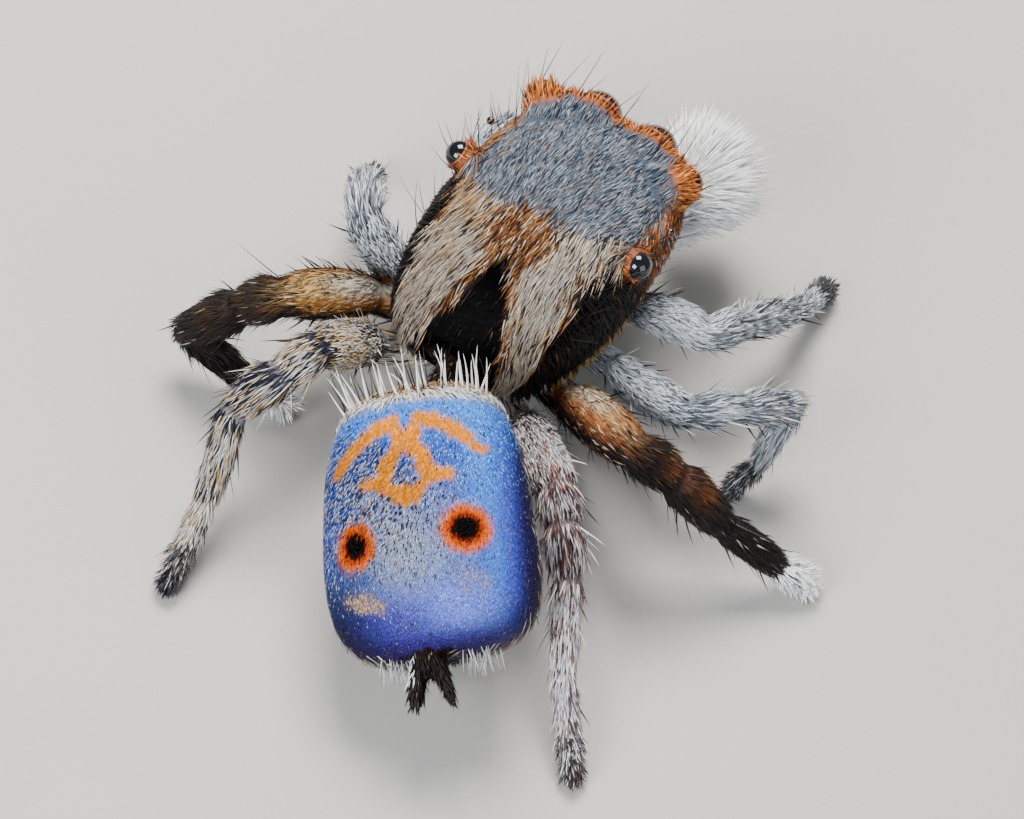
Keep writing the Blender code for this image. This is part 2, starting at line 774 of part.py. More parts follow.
def leg_spines(trees, node, points, radii, rng):
    """List the spines of one leg node, leaning towards the foot."""
    part = node.split("_")[-1]
    pieces = []
    count = LEG_SPINES[part]
    last = len(points) - 2
    skip = 2 if part == "femur" else 0
    for k in range(count):
        place = skip + (last - skip) * (k + 0.5) / count
        index = min(int(place), last)
        along = (points[index + 1] - points[index]).normalized()
        centre = points[index].lerp(points[index + 1], place - index)
        if centre.z < 0.16:
            continue
        side = across(along)
        turn = math.radians(-120 + 240 * ((k * 0.618) % 1.0))
        out = side * math.sin(turn) + side.cross(along) * math.cos(turn)
        root, normal = rooted(trees[node], centre + out * radii[index], 0.03)
        size = rng.uniform(*SPINE_LENGTH)
        reach = root + (out * 0.5 + along) * size
        if reach.z < SPINE_FLOOR:
            continue
        aim = out * 0.7 + along * 0.7
        pieces += lock(trees, node, root, aim, out * 0.3 + along, size, SPINE_RADIUS)
    return pieces


def foot_tuft(trees, node, wrist, foot, pair, rng):
    """List the pad of hair round the claws, large and white on the third legs."""
    count, size, radius = WHITE_PAD if pair == 3 else PAD
    down = (foot - wrist).normalized()
    pieces = []
    for k in range(count):
        angle = 2 * math.pi * k / count
        side = across(down)
        out = side * math.cos(angle) + side.cross(down) * math.sin(angle)
        level = 0.11 + 0.07 * (k % 3)
        centre = foot + (wrist - foot) * level / max(wrist.z, 0.1)
        root, normal = rooted(trees[node], centre + out * 0.08, 0.03)
        root.z = max(root.z, radius + 0.05)
        aim = out * 0.8 + down * 0.5
        bend = down * 0.8 + out * 0.3
        # No lock may reach the floor under the foot.
        aim.z = max(aim.z, 0.15)
        bend.z = max(bend.z, 0.0)
        pieces += lock(trees, node, root, aim, bend, size * rng.uniform(0.85, 1.1), radius)
    return pieces


def centre_on_origin():
    """Move every node alike, so that the box of the whole animal stands over the origin."""
    meshes = [obj.data for obj in bpy.data.objects if obj.type == "MESH"]
    points = [v.co for mesh in meshes for v in mesh.vertices]
    middle_x = (min(p.x for p in points) + max(p.x for p in points)) / 2
    middle_y = (min(p.y for p in points) + max(p.y for p in points)) / 2
    for mesh in meshes:
        mesh.transform(Matrix.Translation((-middle_x, -middle_y, 0.0)))


def main():
    """Build the form of every node, then the hairs that keep off the other nodes."""
    clear_scene()
    rng = random.Random(SEED)
    forms = [make_prosoma(), make_abdomen(), make_spinnerets()] + make_eyes()
    for side in SIDES:
        forms += [make_chelicera(side), make_palp(side)]
        for pair in PAIRS:
            forms += make_leg(side, pair)
    trees = {obj.name: surface(obj) for obj in forms}
    hairs = {"prosoma": head_bristles(trees, rng), "opisthosoma": abdomen_locks(trees, rng)}
    for side in SIDES:
        hairs[f"palp_{side}"] = palp_brush(side, trees, rng)
        for pair in PAIRS:
            hairs.update(leg_locks(side, pair, trees, rng))
    for obj in forms:
        if hairs.get(obj.name):
            fuse(obj, hairs[obj.name])
        finish(obj)
    centre_on_origin()


main()
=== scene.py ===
"""Looks of the peacock spider: skin, coat, eyes, bristles, floor, light and camera.

Shapes are worked out in millimetres in the spider's own axes (x to its left, y to its
rear, z up, floor at z = 0) and moved into the frame, in metres, when a piece is made.
"""
import math
from collections import namedtuple

import bmesh
import bpy
import numpy as np
from mathutils import Matrix, Vector
from mathutils.kdtree import KDTree


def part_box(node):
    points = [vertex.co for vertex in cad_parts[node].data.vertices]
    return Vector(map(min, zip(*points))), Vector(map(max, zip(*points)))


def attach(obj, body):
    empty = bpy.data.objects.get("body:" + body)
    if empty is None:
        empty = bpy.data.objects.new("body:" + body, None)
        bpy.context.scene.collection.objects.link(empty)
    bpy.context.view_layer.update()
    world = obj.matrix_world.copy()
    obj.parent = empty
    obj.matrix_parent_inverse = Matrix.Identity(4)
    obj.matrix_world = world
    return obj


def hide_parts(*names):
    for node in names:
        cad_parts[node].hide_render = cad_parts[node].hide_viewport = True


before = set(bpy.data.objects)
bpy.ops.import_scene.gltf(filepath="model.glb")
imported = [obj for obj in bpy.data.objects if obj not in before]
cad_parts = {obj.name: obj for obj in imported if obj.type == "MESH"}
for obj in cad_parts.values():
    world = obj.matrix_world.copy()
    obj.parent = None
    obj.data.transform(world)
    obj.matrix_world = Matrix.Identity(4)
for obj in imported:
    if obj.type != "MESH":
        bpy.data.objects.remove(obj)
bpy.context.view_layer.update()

MM = 0.001
BODY = "root"
RNG = np.random.default_rng(77)
MARK = "mark"
BAKE_MAP = "OFBake"
PATCH = 0.003

# Camera at the photograph's viewing angle.
VIEW_RIGHT = Vector((-0.8275, -0.5338, 0.1766))
VIEW_UP = Vector((0.5211, -0.6110, 0.5967))
VIEW_BACK = Vector((-0.2106, 0.5853, 0.7827))
VIEW_AIM = Vector((0.0, 0.0, 1.2)) - VIEW_RIGHT * 0.203 - VIEW_UP * 1.219
VIEW_DISTANCE = 60.0
SENSOR = 36.0
LENS = 290.0

# Carapace stations: y, half width, top z, widest z, bottom z.
CARAPACE = np.array((
    (-1.15, 0.44, 1.48, 1.22, 0.94),
    (-1.08, 0.60, 1.57, 1.18, 0.82),
    (-0.85, 0.73, 1.64, 1.12, 0.70),
    (-0.45, 0.80, 1.71, 1.08, 0.62),
    (0.00, 0.83, 1.73, 1.06, 0.60),
    (0.40, 0.80, 1.69, 1.05, 0.60),
    (0.75, 0.73, 1.54, 1.02, 0.62),
    (1.00, 0.61, 1.32, 0.98, 0.66),
    (1.14, 0.45, 1.14, 0.95, 0.72),
    (1.20, 0.31, 1.05, 0.93, 0.78),
))
CARAPACE_POWER = 2.8
STERNUM_CENTRE = (0.0, 0.22, 0.50)
STERNUM_HALF = (0.27, 0.75, 0.17)

# Eyes: name, centre on the left side, radius, the way it looks and how far the rim stands out.
EYES = (
    ("front_middle", (0.245, -1.09, 1.41), 0.20, (0.05, -1.0, 0.0), 0.022),
    ("front_side", (0.63, -0.95, 1.48), 0.12, (0.55, -0.8, 0.1), 0.030),
    ("rear_middle", (0.79, -0.45, 1.52), 0.032, (0.9, -0.1, 0.4), 0.020),
    ("rear_side", (0.78, 0.00, 1.56), 0.105, (0.85, 0.25, 0.45), 0.016),
)

# Swellings that carry the carapace into the front eyes: centre on the left side and half sizes.
BROWS = (
    ((0.47, -0.85, 1.42), (0.24, 0.22, 0.19)),
    ((0.41, -0.98, 1.40), (0.17, 0.15, 0.20)),
)

# How far the orange reaches from each size of eye, and how far round behind it.
RIM_REACH = {0.20: (0.075, -0.30), 0.12: (0.075, -0.75), 0.032: (0.06, -1.5), 0.105: (0.016, -1.5)}

# Abdomen: its own axes and its stations (share of half length, half width, above, below, shift).
ABDOMEN_CENTRE = np.array((-0.748, 2.513, 0.974))
ABDOMEN_REAR = np.array((-0.609, 0.770, -0.190))
ABDOMEN_UP = np.array((0.2165, 0.399, 0.890))
ABDOMEN_HALF_LENGTH = 1.01
ABDOMEN = np.array((
    (-1.00, 0.38, 0.24, 0.22, 0.02),
    (-0.95, 0.49, 0.36, 0.32, 0.02),
    (-0.82, 0.60, 0.50, 0.43, 0.02),
    (-0.50, 0.71, 0.58, 0.54, 0.03),
    (0.00, 0.765, 0.60, 0.60, 0.03),
    (0.45, 0.785, 0.56, 0.57, 0.02),
    (0.75, 0.73, 0.46, 0.48, 0.02),
    (0.90, 0.61, 0.34, 0.37, 0.02),
    (0.97, 0.46, 0.23, 0.26, 0.02),
    (1.00, 0.31, 0.15, 0.17, 0.02),
))
ABDOMEN_POWER = 2.4
WAIST = ((0.0, 1.10, 0.91), (-0.07, 1.45, 0.90), (-0.28, 1.90, 0.98))
WAIST_RADII = (0.07, 0.062, 0.12)
SPINNERET_SHIFT = 0.09
# The spinnerets' shared base, and the height, length and radius of the three on each side.
SPINNERET_BASE = ((0.0, 0.14), (0.09, 0.13), (0.17, 0.08))
SPINNERETS = ((-0.05, 0.30, 0.055), (0.02, 0.22, 0.04), (0.07, 0.34, 0.05))
# Share of the length and of the radius along each.
SPINNERET_SHAPE = np.array(((0.0, 1.0), (0.3, 1.0), (0.6, 0.92), (0.66, 0.72), (0.8, 0.85), (1.0, 0.4)))

# Legs: root of the coxae at the sternum, thickness and how far each thigh arches up or sags.
COXA_X = 0.335
COXA_Z = 0.42
COXA_Y = {1: -0.40, 2: 0.02, 3: 0.44, 4: 0.86}
LEG_THICKNESS = {1: 0.90, 2: 0.87, 3: 1.08, 4: 1.02}
FEMUR_RISE = {1: 0.03, 2: -0.05, 3: 0.02, 4: 0.02}
# Pose: hip, knee, patella, shin, wrist and foot of each leg.
POSE = {
    ("left", 1): (
        (0.72, -0.52, 0.42), (0.95, -0.82, 0.67), (0.92, -1.04, 0.68), (0.89, -1.34, 0.45),
        (0.79, -1.57, 0.23), (0.71, -1.75, 0.0),
    ),
    ("left", 2): (
        (0.86, 0.30, 0.42), (1.12, 0.65, 1.17), (1.26, 0.41, 1.13), (1.45, -0.08, 0.60),
        (1.55, -0.36, 0.25), (1.62, -0.55, 0.0),
    ),
    ("left", 3): (
        (0.88, 0.68, 0.46), (1.18, 1.59, 1.10), (1.42, 1.68, 0.86), (1.74, 1.80, 0.42),
        (1.28, 1.74, 0.20), (0.92, 1.66, 0.0),
    ),
    ("left", 4): (
        (0.63, 1.05, 0.46), (0.70, 1.85, 1.16), (0.79, 2.16, 1.11), (0.96, 2.47, 0.86),
        (0.80, 2.98, 0.40), (0.69, 3.55, 0.0),
    ),
    ("right", 1): (
        (-0.70, -0.52, 0.45), (-1.31, -0.37, 0.82), (-1.47, -0.67, 0.77), (-1.59, -1.24, 0.45),
        (-1.61, -1.56, 0.24), (-1.60, -1.90, 0.0),
    ),
    ("right", 2): (
        (-0.82, 0.04, 0.46), (-1.63, 0.41, 0.95), (-1.90, 0.17, 0.97), (-2.12, -0.32, 0.70),
        (-2.11, -0.03, 0.32), (-2.03, 0.17, 0.0),
    ),
    ("right", 3): (
        (-0.77, 0.57, 0.50), (-1.52, 1.13, 1.16), (-1.83, 1.02, 0.98), (-2.26, 0.86, 0.62),
        (-2.69, 0.65, 0.27), (-2.90, 0.51, 0.0),
    ),
    ("right", 4): (
        (-0.64, 0.99, 0.52), (-1.27, 1.69, 1.02), (-1.44, 1.87, 0.98), (-1.68, 2.11, 0.80),
        (-2.03, 2.58, 0.42), (-2.48, 3.05, 0.0),
    ),
}
LEG_RADII = (
    0.13, 0.14, 0.145, 0.185, 0.195, 0.165, 0.17, 0.145, 0.165, 0.155, 0.122, 0.118, 0.098, 0.088,
    0.066, 0.052,
)
LEG_SKIN = 0.88
LEG_PINCH = 0.16
LEG_PINCH_REACH = 0.045
LEG_ROWS = 190
LEG_SIDES = 30
LEG_PAIRS = (1, 2, 3, 4)
SIDES = (("left", 1), ("right", -1))

PALPS = {
    "left": ((0.47, -0.84, 0.50), (0.52, -1.24, 0.70), (0.42, -1.42, 0.38)),
    "right": ((-0.47, -0.86, 0.46), (-0.53, -1.37, 0.96), (-0.45, -1.60, 0.78)),
}
PALP_RADII = (0.09, 0.10, 0.11, 0.12, 0.12, 0.07)
PALP_REACH = {"left": 0.6, "right": 1.0}
# Left jaw from the head down.
JAW = (
    (0.17, -0.84, 0.86), (0.19, -0.99, 0.66), (0.20, -1.02, 0.53), (0.185, -1.0, 0.35),
    (0.17, -0.97, 0.215),
)
JAW_RADII = (0.10, 0.14, 0.145, 0.12, 0.07)

HEAD_DEPTH = 0.035
HEAD_REACH = 2.02
ABDOMEN_DEPTH = 0.022
BODY_SIDES = 120
VOXEL = 0.026

# Coats: size of the cell that holds one root, width of a hair, share of its colour at the root
# and how far the lie strays.
Coat = namedtuple("Coat", "cell width root_share stray")
COATS = {
    "coat_head_plate": Coat(0.0170, 0.0115, 0.80, 0.09),
    "coat_head_flanks": Coat(0.0170, 0.0125, 0.60, 0.08),
    "coat_head_patch": Coat(0.0170, 0.0130, 0.60, 0.10),
    "coat_head_cheeks": Coat(0.0230, 0.0145, 1.00, 0.15),
    "coat_head_rims": Coat(0.0172, 0.0130, 0.70, 0.15),
    "coat_head_face": Coat(0.0225, 0.0150, 0.70, 0.15),
    "coat_abdomen_scales": Coat(0.0132, 0.0150, 0.80, 0.15),
    "coat_abdomen_front": Coat(0.0200, 0.0125, 0.75, 0.15),
    "coat_abdomen_under": Coat(0.0250, 0.0145, 0.70, 0.15),
    "coat_leg": Coat(0.0210, 0.0140, 0.75, 0.08),
    "coat_small_parts": Coat(0.026, 0.0130, 0.80, 0.15),
}
# Cells that hold one root of the long hairs and bristles.
LONG_CELLS = {
    "head": 0.10, "fringe": 0.021, "crest": 0.062, "tufts": 0.026, "legs": 0.085, "palps": 0.0112,
}

SLATE_PALE = (0.27, 0.30, 0.33)
SLATE_MIDDLE = (0.130, 0.165, 0.205)
SLATE_DARK = (0.022, 0.038, 0.072)
SLATE_WARM = (0.215, 0.165, 0.135)
CREAM = (0.60, 0.51, 0.38)
CREAM_GREY = (0.35, 0.32, 0.295)
CREAM_DARK = (0.022, 0.016, 0.015)
ORANGE = (0.56, 0.150, 0.022)
ORANGE_BROWN = (0.25, 0.088, 0.024)
BLACK = (0.0006, 0.0006, 0.0007)
WARM_BLACK = (0.010, 0.006, 0.004)
WHITE = (0.94, 0.94, 0.94)
YELLOW = (0.55, 0.34, 0.07)
BLUE = (0.022, 0.085, 0.46)
CYAN = (0.035, 0.26, 0.95)
# Violet of the abdomen's rear, also painted as shade down its right flank.
VIOLET = (0.070, 0.035, 0.42)
# Pale lilac painted as a reflection of the lamps in the middle of the abdomen's back.
REFLECTION_LILAC = (0.24, 0.28, 0.50)
GOLD = (0.21, 0.135, 0.06)
# Dark navy of some scales, also painted as shade over the rear of the abdomen's left side.
NAVY = (0.012, 0.013, 0.028)
# Grey-green painted with the lilac as a reflection in the middle of the abdomen's back.
REFLECTION_GREY_GREEN = (0.30, 0.37, 0.40)
# Bright blue painted as a highlight over the abdomen's rear, where the surface turns away from the lamps.
HIGHLIGHT_BLUE = (0.19, 0.27, 1.0)
# Dark violet painted as shade down the abdomen's right flank and lower sides.
SHADE_VIOLET = (0.014, 0.009, 0.045)
MARK_ORANGE = (0.57, 0.180, 0.0)
RING_RED = (0.36, 0.032, 0.0)
RING_EDGE = (0.50, 0.105, 0.0)


def row_shift():
    """Find how far the spider's own axes lie from the frame's, from the two large eyes."""
    name, centre = EYES[0][0], Vector(EYES[0][1])
    boxes = [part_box(f"eye_{name}_{side}") for side in ("left", "right")]
    middle = sum(((low + high) / 2 for low, high in boxes), Vector()) / 2 / MM
    return Vector((middle.x, middle.y - centre.y, middle.z - centre.z))


SHIFT = row_shift()


def placed(point):
    """Give a point of the spider's own axes as a point of the frame."""
    return (Vector(point) + SHIFT) * MM


def unit(vectors):
    """Scale each row to length one."""
    length = np.linalg.norm(vectors, axis=-1, keepdims=True)
    return vectors / np.maximum(length, 1e-9)


def along_table(table, places):
    """Read smooth curves through the rows of a table at many values of its first column."""
    places = np.clip(places, table[0, 0], table[-1, 0])
    last = len(table) - 1
    low = np.clip(np.searchsorted(table[:, 0], places, side="right") - 1, 0, last - 1)
    before, after = np.maximum(low - 1, 0), np.minimum(low + 2, last)
    span = table[low + 1, 0] - table[low, 0]
    t = ((places - table[low, 0]) / span)[:, None]
    values = table[:, 1:]
    run_low = (table[low + 1, 0] - table[before, 0])[:, None]
    run_high = (table[after, 0] - table[low, 0])[:, None]
    slope_low = (values[low + 1] - values[before]) / run_low * span[:, None]
    slope_high = (values[after] - values[low]) / run_high * span[:, None]
    return (
        values[low] * (2 * t**3 - 3 * t**2 + 1)
        + slope_low * (t**3 - 2 * t**2 + t)
        + values[low + 1] * (3 * t**2 - 2 * t**3)
        + slope_high * (t**3 - t**2)
    )


NOISE_OCTAVES = (1.0, 1.9, 3.7)
NOISE_WAVES = 7


def noise(points, scale, seed):
    """Give smooth noise between about -1 and 1 at each point."""
    rng = np.random.default_rng(seed)
    total = np.zeros(len(points))
    for octave in NOISE_OCTAVES:
        waves = rng.normal(size=(NOISE_WAVES, 3)) * octave / scale
        phases = rng.uniform(0, 2 * math.pi, NOISE_WAVES)
        total += np.sin(points @ waves.T + phases).sum(1) / octave
    return total / 6.0


def soft(value, edge, width):
    """Rise from 0 to 1 as value passes edge."""
    return 1 / (1 + np.exp(-np.clip((value - edge) / width, -30, 30)))


def peak(value, centre, width):
    """Rise to 1 where value is at centre and fall away on both sides."""
    return np.exp(-(((value - centre) / width) ** 2))


def blend(under, over, weight):
    """Lay colours over others, by a weight for each point."""
    weight = weight[:, None]
    return np.asarray(under) * (1 - weight) + np.asarray(over) * weight


def filled(row, count):
    """Repeat one row."""
    return np.tile(np.asarray(row, float), (count, 1))


def columns(*values):
    """Stack values as columns, a single number repeated down its own."""
    return np.column_stack(np.broadcast_arrays(*values))


def round_angles(sides):
    """Give the angles of the points of a ring."""
    return np.linspace(0, 2 * math.pi, sides, endpoint=False)


# Source surfaces

PARTS = {}


class Source:
    """Rings of points with, for each point, its part, place along and round it, and lie."""

    def __init__(self):
        self.points, self.faces, self.part, self.u, self.v, self.lie = [], [], [], [], [], []
        self.count = 0

    def add(self, name, rings, lies):
        """Add one closed tube of rings."""
        number = PARTS.setdefault(name, len(PARTS))
        rows, sides = len(rings), len(rings[0])
        base = self.count
        for k, (ring, lie) in enumerate(zip(rings, lies)):
            self.points.extend(ring)
            self.part.extend([number] * sides)
            self.u.extend([k / (rows - 1)] * sides)
            self.v.extend((np.arange(sides) + 0.5) / sides)
            self.lie.extend([lie] * sides)
        for k in range(rows - 1):
            for s in range(sides):
                n = (s + 1) % sides
                a, b = base + k * sides, base + (k + 1) * sides
                self.faces.append((a + s, a + n, b + n, b + s))
        self.faces.append(tuple(base + s for s in reversed(range(sides))))
        self.faces.append(tuple(base + (rows - 1) * sides + s for s in range(sides)))
        self.count += rows * sides

    def mesh(self):
        """Give the source as one mesh with every surface facing outward."""
        bm = bmesh.new()
        verts = [bm.verts.new(p) for p in self.points]
        for face in self.faces:
            bm.faces.new([verts[i] for i in face])
        bmesh.ops.recalc_face_normals(bm, faces=bm.faces[:])
        made = bpy.data.meshes.new("source")
        bm.to_mesh(made)
        bm.free()
        return made


def rounded_square(angles, half_width, above, below, power):
    """Give the side and height of a rounded-square section, from the top round by the left."""
    side, up = np.sin(angles), np.cos(angles)
    x = half_width * np.sign(side) * np.abs(side) ** (2 / power)
    z = np.where(up > 0, above, below) * np.sign(up) * np.abs(up) ** (2 / power)
    return x, z


def head_rings(depth):
    """Give the carapace's rings, a depth inside the solid."""
    first, last = CARAPACE[0, 0] + depth, CARAPACE[-1, 0] - depth
    places = first + (last - first) * (0.5 - 0.5 * np.cos(np.linspace(0, math.pi, 76)))
    angles = round_angles(BODY_SIDES)
    rings = []
    for y, (half, top, widest, bottom) in zip(places, along_table(CARAPACE, places)):
        above, below = top - widest - depth, widest - bottom - depth
        x, z = rounded_square(angles, half - depth, above, below, CARAPACE_POWER)
        rings.append(columns(x, y, widest + z))
    return rings


def tube_rings(points, radii, sides):
    """Give the rings of a tube along many points, and the direction at each."""
    points = np.asarray(points, float)
    tangents = unit(np.gradient(points, axis=0))
    side = np.cross(tangents[0], (0.0, 0.0, 1.0))
    if np.linalg.norm(side) < 1e-3:
        side = np.array((1.0, 0.0, 0.0))
    angles = round_angles(sides)
    rings = []
    for point, tangent, radius in zip(points, tangents, radii):
        side = unit(side - tangent * side.dot(tangent))
        other = np.cross(tangent, side)
        rings.append(point + radius * (np.outer(np.cos(angles), side) + np.outer(np.sin(angles), other)))
    return rings, tangents


def smooth_path(points, radii, count):
    """Give a finer path through the points, evenly spaced, with the radius at each."""
    points, radii = np.asarray(points, float), np.asarray(radii, float)
    reach = np.concatenate(((0.0,), np.cumsum(np.linalg.norm(np.diff(points, axis=0), axis=1))))
    table = np.column_stack((reach, points, radii))
    fine = along_table(table, np.linspace(0, reach[-1], count))
    return fine[:, :3], fine[:, 3], reach / reach[-1]


def lerp(a, b, share):
    """Give the point between a and b."""
    return np.asarray(a, float) * (1 - share) + np.asarray(b, float) * share


def lifted(a, b, share, rise):
    """Give the point between a and b, lifted a little."""
    return lerp(a, b, share) + np.array((0.0, 0.0, rise))


def leg_path(side, pair):
    """Give the control points of one leg and which of them are joints."""
    hip, knee, patella, shin, wrist, foot = (np.array(point) for point in POSE[(side, pair)])
    out = 1 if side == "left" else -1
    rise = FEMUR_RISE[pair]
    start = np.array((COXA_X * out, COXA_Y[pair], COXA_Z))
    heel = lifted(foot, foot, 0.0, 0.09)
    inner = np.array((0.08 * out, COXA_Y[pair] * 0.8, 0.50))
    points = [
        inner, lerp(start, hip, 0.6), hip, lifted(hip, knee, 0.25, rise), lifted(hip, knee, 0.65, rise),
        knee, lifted(knee, patella, 0.55, 0.02), patella, lifted(patella, shin, 0.3, 0.02),
        lifted(patella, shin, 0.7, 0.01), shin, lerp(shin, wrist, 0.6), wrist,
        lerp(wrist, heel, 0.55), heel, foot + (0.0, 0.0, 0.012),
    ]
    return points, (2, 5, 7, 10, 12)


# Filled while the legs are laid out, by side and pair: the joints' places along the leg, and its
# path, radii and directions.
LEG_JOINTS = {}
LEG_CURVES = {}


def add_leg(source, side, pair):
    """Add one leg, pinched at its joints."""
    points, joints = leg_path(side, pair)
    path, radii, shares = smooth_path(points, LEG_RADII, LEG_ROWS)
    radii = radii * LEG_THICKNESS[pair] * LEG_SKIN
    place = np.linspace(0, 1, len(path))
    length = np.linalg.norm(np.diff(path, axis=0), axis=1).sum()
    LEG_JOINTS[(side, pair)] = [shares[j] for j in joints]
    for j in joints:
        radii *= 1 - LEG_PINCH * np.exp(-(((place - shares[j]) * length / LEG_PINCH_REACH) ** 2))
    # The foot ends in a small flat on the floor.
    radii[-3:] *= (0.95, 0.85, 0.7)
    rings, tangents = tube_rings(path, radii, LEG_SIDES)
    source.add(f"leg{pair}_{side}", rings, tangents)
    LEG_CURVES[(side, pair)] = (path, radii, tangents)


def abdomen_points(share, angles, depth):
    """Give points of the abdomen's surface, a depth inside the solid."""
    half, above, below, shift = along_table(ABDOMEN, np.atleast_1d(share))[0]
    x, z = rounded_square(angles, half - depth, above - depth, below - depth, ABDOMEN_POWER)
    rear, left, up = ABDOMEN_AXES
    centre = ABDOMEN_CENTRE + rear * share * (ABDOMEN_HALF_LENGTH - depth)
    return centre + np.outer(x + shift, left) + np.outer(z, up)


def abdomen_axes():
    """Give the abdomen's rearward, leftward and upward directions."""
    rear = unit(ABDOMEN_REAR)
    up = unit(ABDOMEN_UP - rear * ABDOMEN_UP.dot(rear))
    return rear, np.cross(up, -rear), up


ABDOMEN_AXES = abdomen_axes()


def ball_rings(centre, half, count=24, sides=36):
    """Give the rings of an ellipsoid along y."""
    centre, half = np.asarray(centre, float), np.asarray(half, float)
    angles = round_angles(sides)
    rings = []
    for turn in np.linspace(0.06, math.pi - 0.06, count):
        x, z = np.sin(angles) * math.sin(turn), np.cos(angles) * math.sin(turn)
        rings.append(centre + half * columns(x, -math.cos(turn), z))
    return rings


def build_source():
    """Lay out every part of the flesh as overlapping closed surfaces."""
    source = Source()
    rear, left, up = ABDOMEN_AXES

    def even(name, rings, lie=(0.0, 1.0, 0.0)):
        """Add rings whose coat lies one way."""
        source.add(name, rings, [np.array(lie)] * len(rings))

    def tube(name, points, radii, count, sides):
        """Add a tube through the points."""
        path, radii, _ = smooth_path(points, radii, count)
        source.add(name, *tube_rings(path, radii, sides))

    even("head", head_rings(HEAD_DEPTH))
    even("sternum", ball_rings(STERNUM_CENTRE, STERNUM_HALF))
    for _, centre, radius, gaze, rim in EYES:
        for out in (1, -1):
            look = unit(np.array(gaze) * (out, 1, 1))
            behind = np.array(centre) * (out, 1, 1) - look * radius * 0.45
            even("head", ball_rings(behind, (radius + rim * 0.8,) * 3))
    for out in (1, -1):
        for centre, half in BROWS:
            even("head", ball_rings(np.array(centre) * (out, 1, 1), half))
    angles = round_angles(BODY_SIDES)
    turns = np.linspace(0, math.pi, 80)
    rings = [abdomen_points(-math.cos(turn), angles, ABDOMEN_DEPTH) for turn in turns]
    even("abdomen", rings, rear)
    tube("waist", WAIST, WAIST_RADII, 24, 24)
    start = ABDOMEN_CENTRE + rear * (ABDOMEN_HALF_LENGTH - 0.04) + left * SPINNERET_SHIFT
    base = [start + rear * reach for reach, _ in SPINNERET_BASE]
    tube("spinnerets", base, [radius for _, radius in SPINNERET_BASE], 14, 30)
    for side in (-1, 1):
        for height, length, radius in SPINNERETS:
            root = start + rear * 0.07 + left * side * 0.065 + up * height
            aim = unit(rear + left * side * 0.22 + up * (height * 1.5 - 0.25))
            shape = [lerp(root, root + aim * length, share) for share in SPINNERET_SHAPE[:, 0]]
            tube("spinnerets", shape, SPINNERET_SHAPE[:, 1] * radius * 0.9, 24, 18)
    for side, out in SIDES:
        tube("jaws", [np.array(p) * (out, 1, 1) for p in JAW], JAW_RADII, 30, 26)
        root, elbow, tip = (np.array(p) for p in PALPS[side])
        swell = lerp(elbow, tip, 0.55) + (0.0, -0.05, 0.02)
        neck = root * 0.85 + np.array((0.0, 0.0, 0.40))
        points = (neck, lifted(root, elbow, 0.35, 0.02), elbow, lerp(elbow, tip, 0.3), swell, tip)
        tube(f"palp_{side}", points, PALP_RADII, 60, 26)
        for pair in LEG_PAIRS:
            add_leg(source, side, pair)
    return source


class Skin:
    """The one skin, with for each point its part, its place on the part and the coat's lie."""


def make_skin():
    """Fuse the source surfaces to one closed skin and read each point's part from them."""
    source = build_source()
    obj = bpy.data.objects.new("skin", source.mesh())
    bpy.context.scene.collection.objects.link(obj)
    remesh = obj.modifiers.new("fuse", "REMESH")
    remesh.mode = "VOXEL"
    remesh.voxel_size = VOXEL
    evened = obj.modifiers.new("even", "SMOOTH")
    evened.factor = 0.5
    evened.iterations = 2
    graph = bpy.context.evaluated_depsgraph_get()
    mesh = bpy.data.meshes.new_from_object(obj.evaluated_get(graph))
    obj.modifiers.clear()
    obj.data = mesh
    bm = bmesh.new()
    bm.from_mesh(mesh)
    keep_largest(bm)
    bmesh.ops.triangulate(bm, faces=bm.faces[:])
    bm.to_mesh(mesh)
    bm.free()
    skin = Skin()
    skin.obj = obj
    count = len(mesh.vertices)
    skin.points = np.empty(count * 3)
    mesh.vertices.foreach_get("co", skin.points)
    skin.points = skin.points.reshape(-1, 3)
    skin.triangles = np.empty(len(mesh.polygons) * 3, int)
    mesh.polygons.foreach_get("vertices", skin.triangles)
    skin.triangles = skin.triangles.reshape(-1, 3)
    skin.normals = point_normals(skin.points, skin.triangles)
    tree = KDTree(source.count)
    for k, point in enumerate(source.points):
        tree.insert(point, k)
    tree.balance()
    nearest = np.array([tree.find(p)[1] for p in skin.points])
    skin.part = np.array(source.part)[nearest]
    skin.u = np.array(source.u)[nearest]
    skin.v = np.array(source.v)[nearest]
    skin.lie = np.array(source.lie)[nearest]
    return skin


def keep_largest(bm):
    """Drop every loose surface but the one with the most faces, always in the same order."""
    bm.faces.index_update()
    seen = set()
    islands = []
    for start in bm.faces:
        if start.index in seen:
            continue
        seen.add(start.index)
        island, stack = [start], [start]
        while stack:
            for edge in stack.pop().edges:
                for face in edge.link_faces:
                    if face.index not in seen:
                        seen.add(face.index)
                        island.append(face)
                        stack.append(face)
        islands.append(island)
    islands.sort(key=len)
    for island in islands[:-1]:
        bmesh.ops.delete(bm, geom=island, context="FACES")


def point_normals(points, triangles):
    """Give the normal at each point, from its triangles by area."""
    a, b, c = (points[triangles[:, k]] for k in range(3))
    face = np.cross(b - a, c - a)
    normals = np.zeros_like(points)
    for k in range(3):
        np.add.at(normals, triangles[:, k], face)
    return unit(normals)


# Places on the skin

class Places:
    """Roots of hairs on the skin."""

    def __init__(self, **fields):
        self.__dict__.update(fields)

    def only(self, chosen):
        """Give the chosen roots alone."""
        return Places(**{k: v[chosen] for k, v in self.__dict__.items()})

    def __len__(self):
        return len(self.p)


# Points thrown for each cell, and the numbering of the cells along each axis.
OVERSAMPLE = 1.6
CELL_OFFSET = 4000
CELL_COUNT = 8192


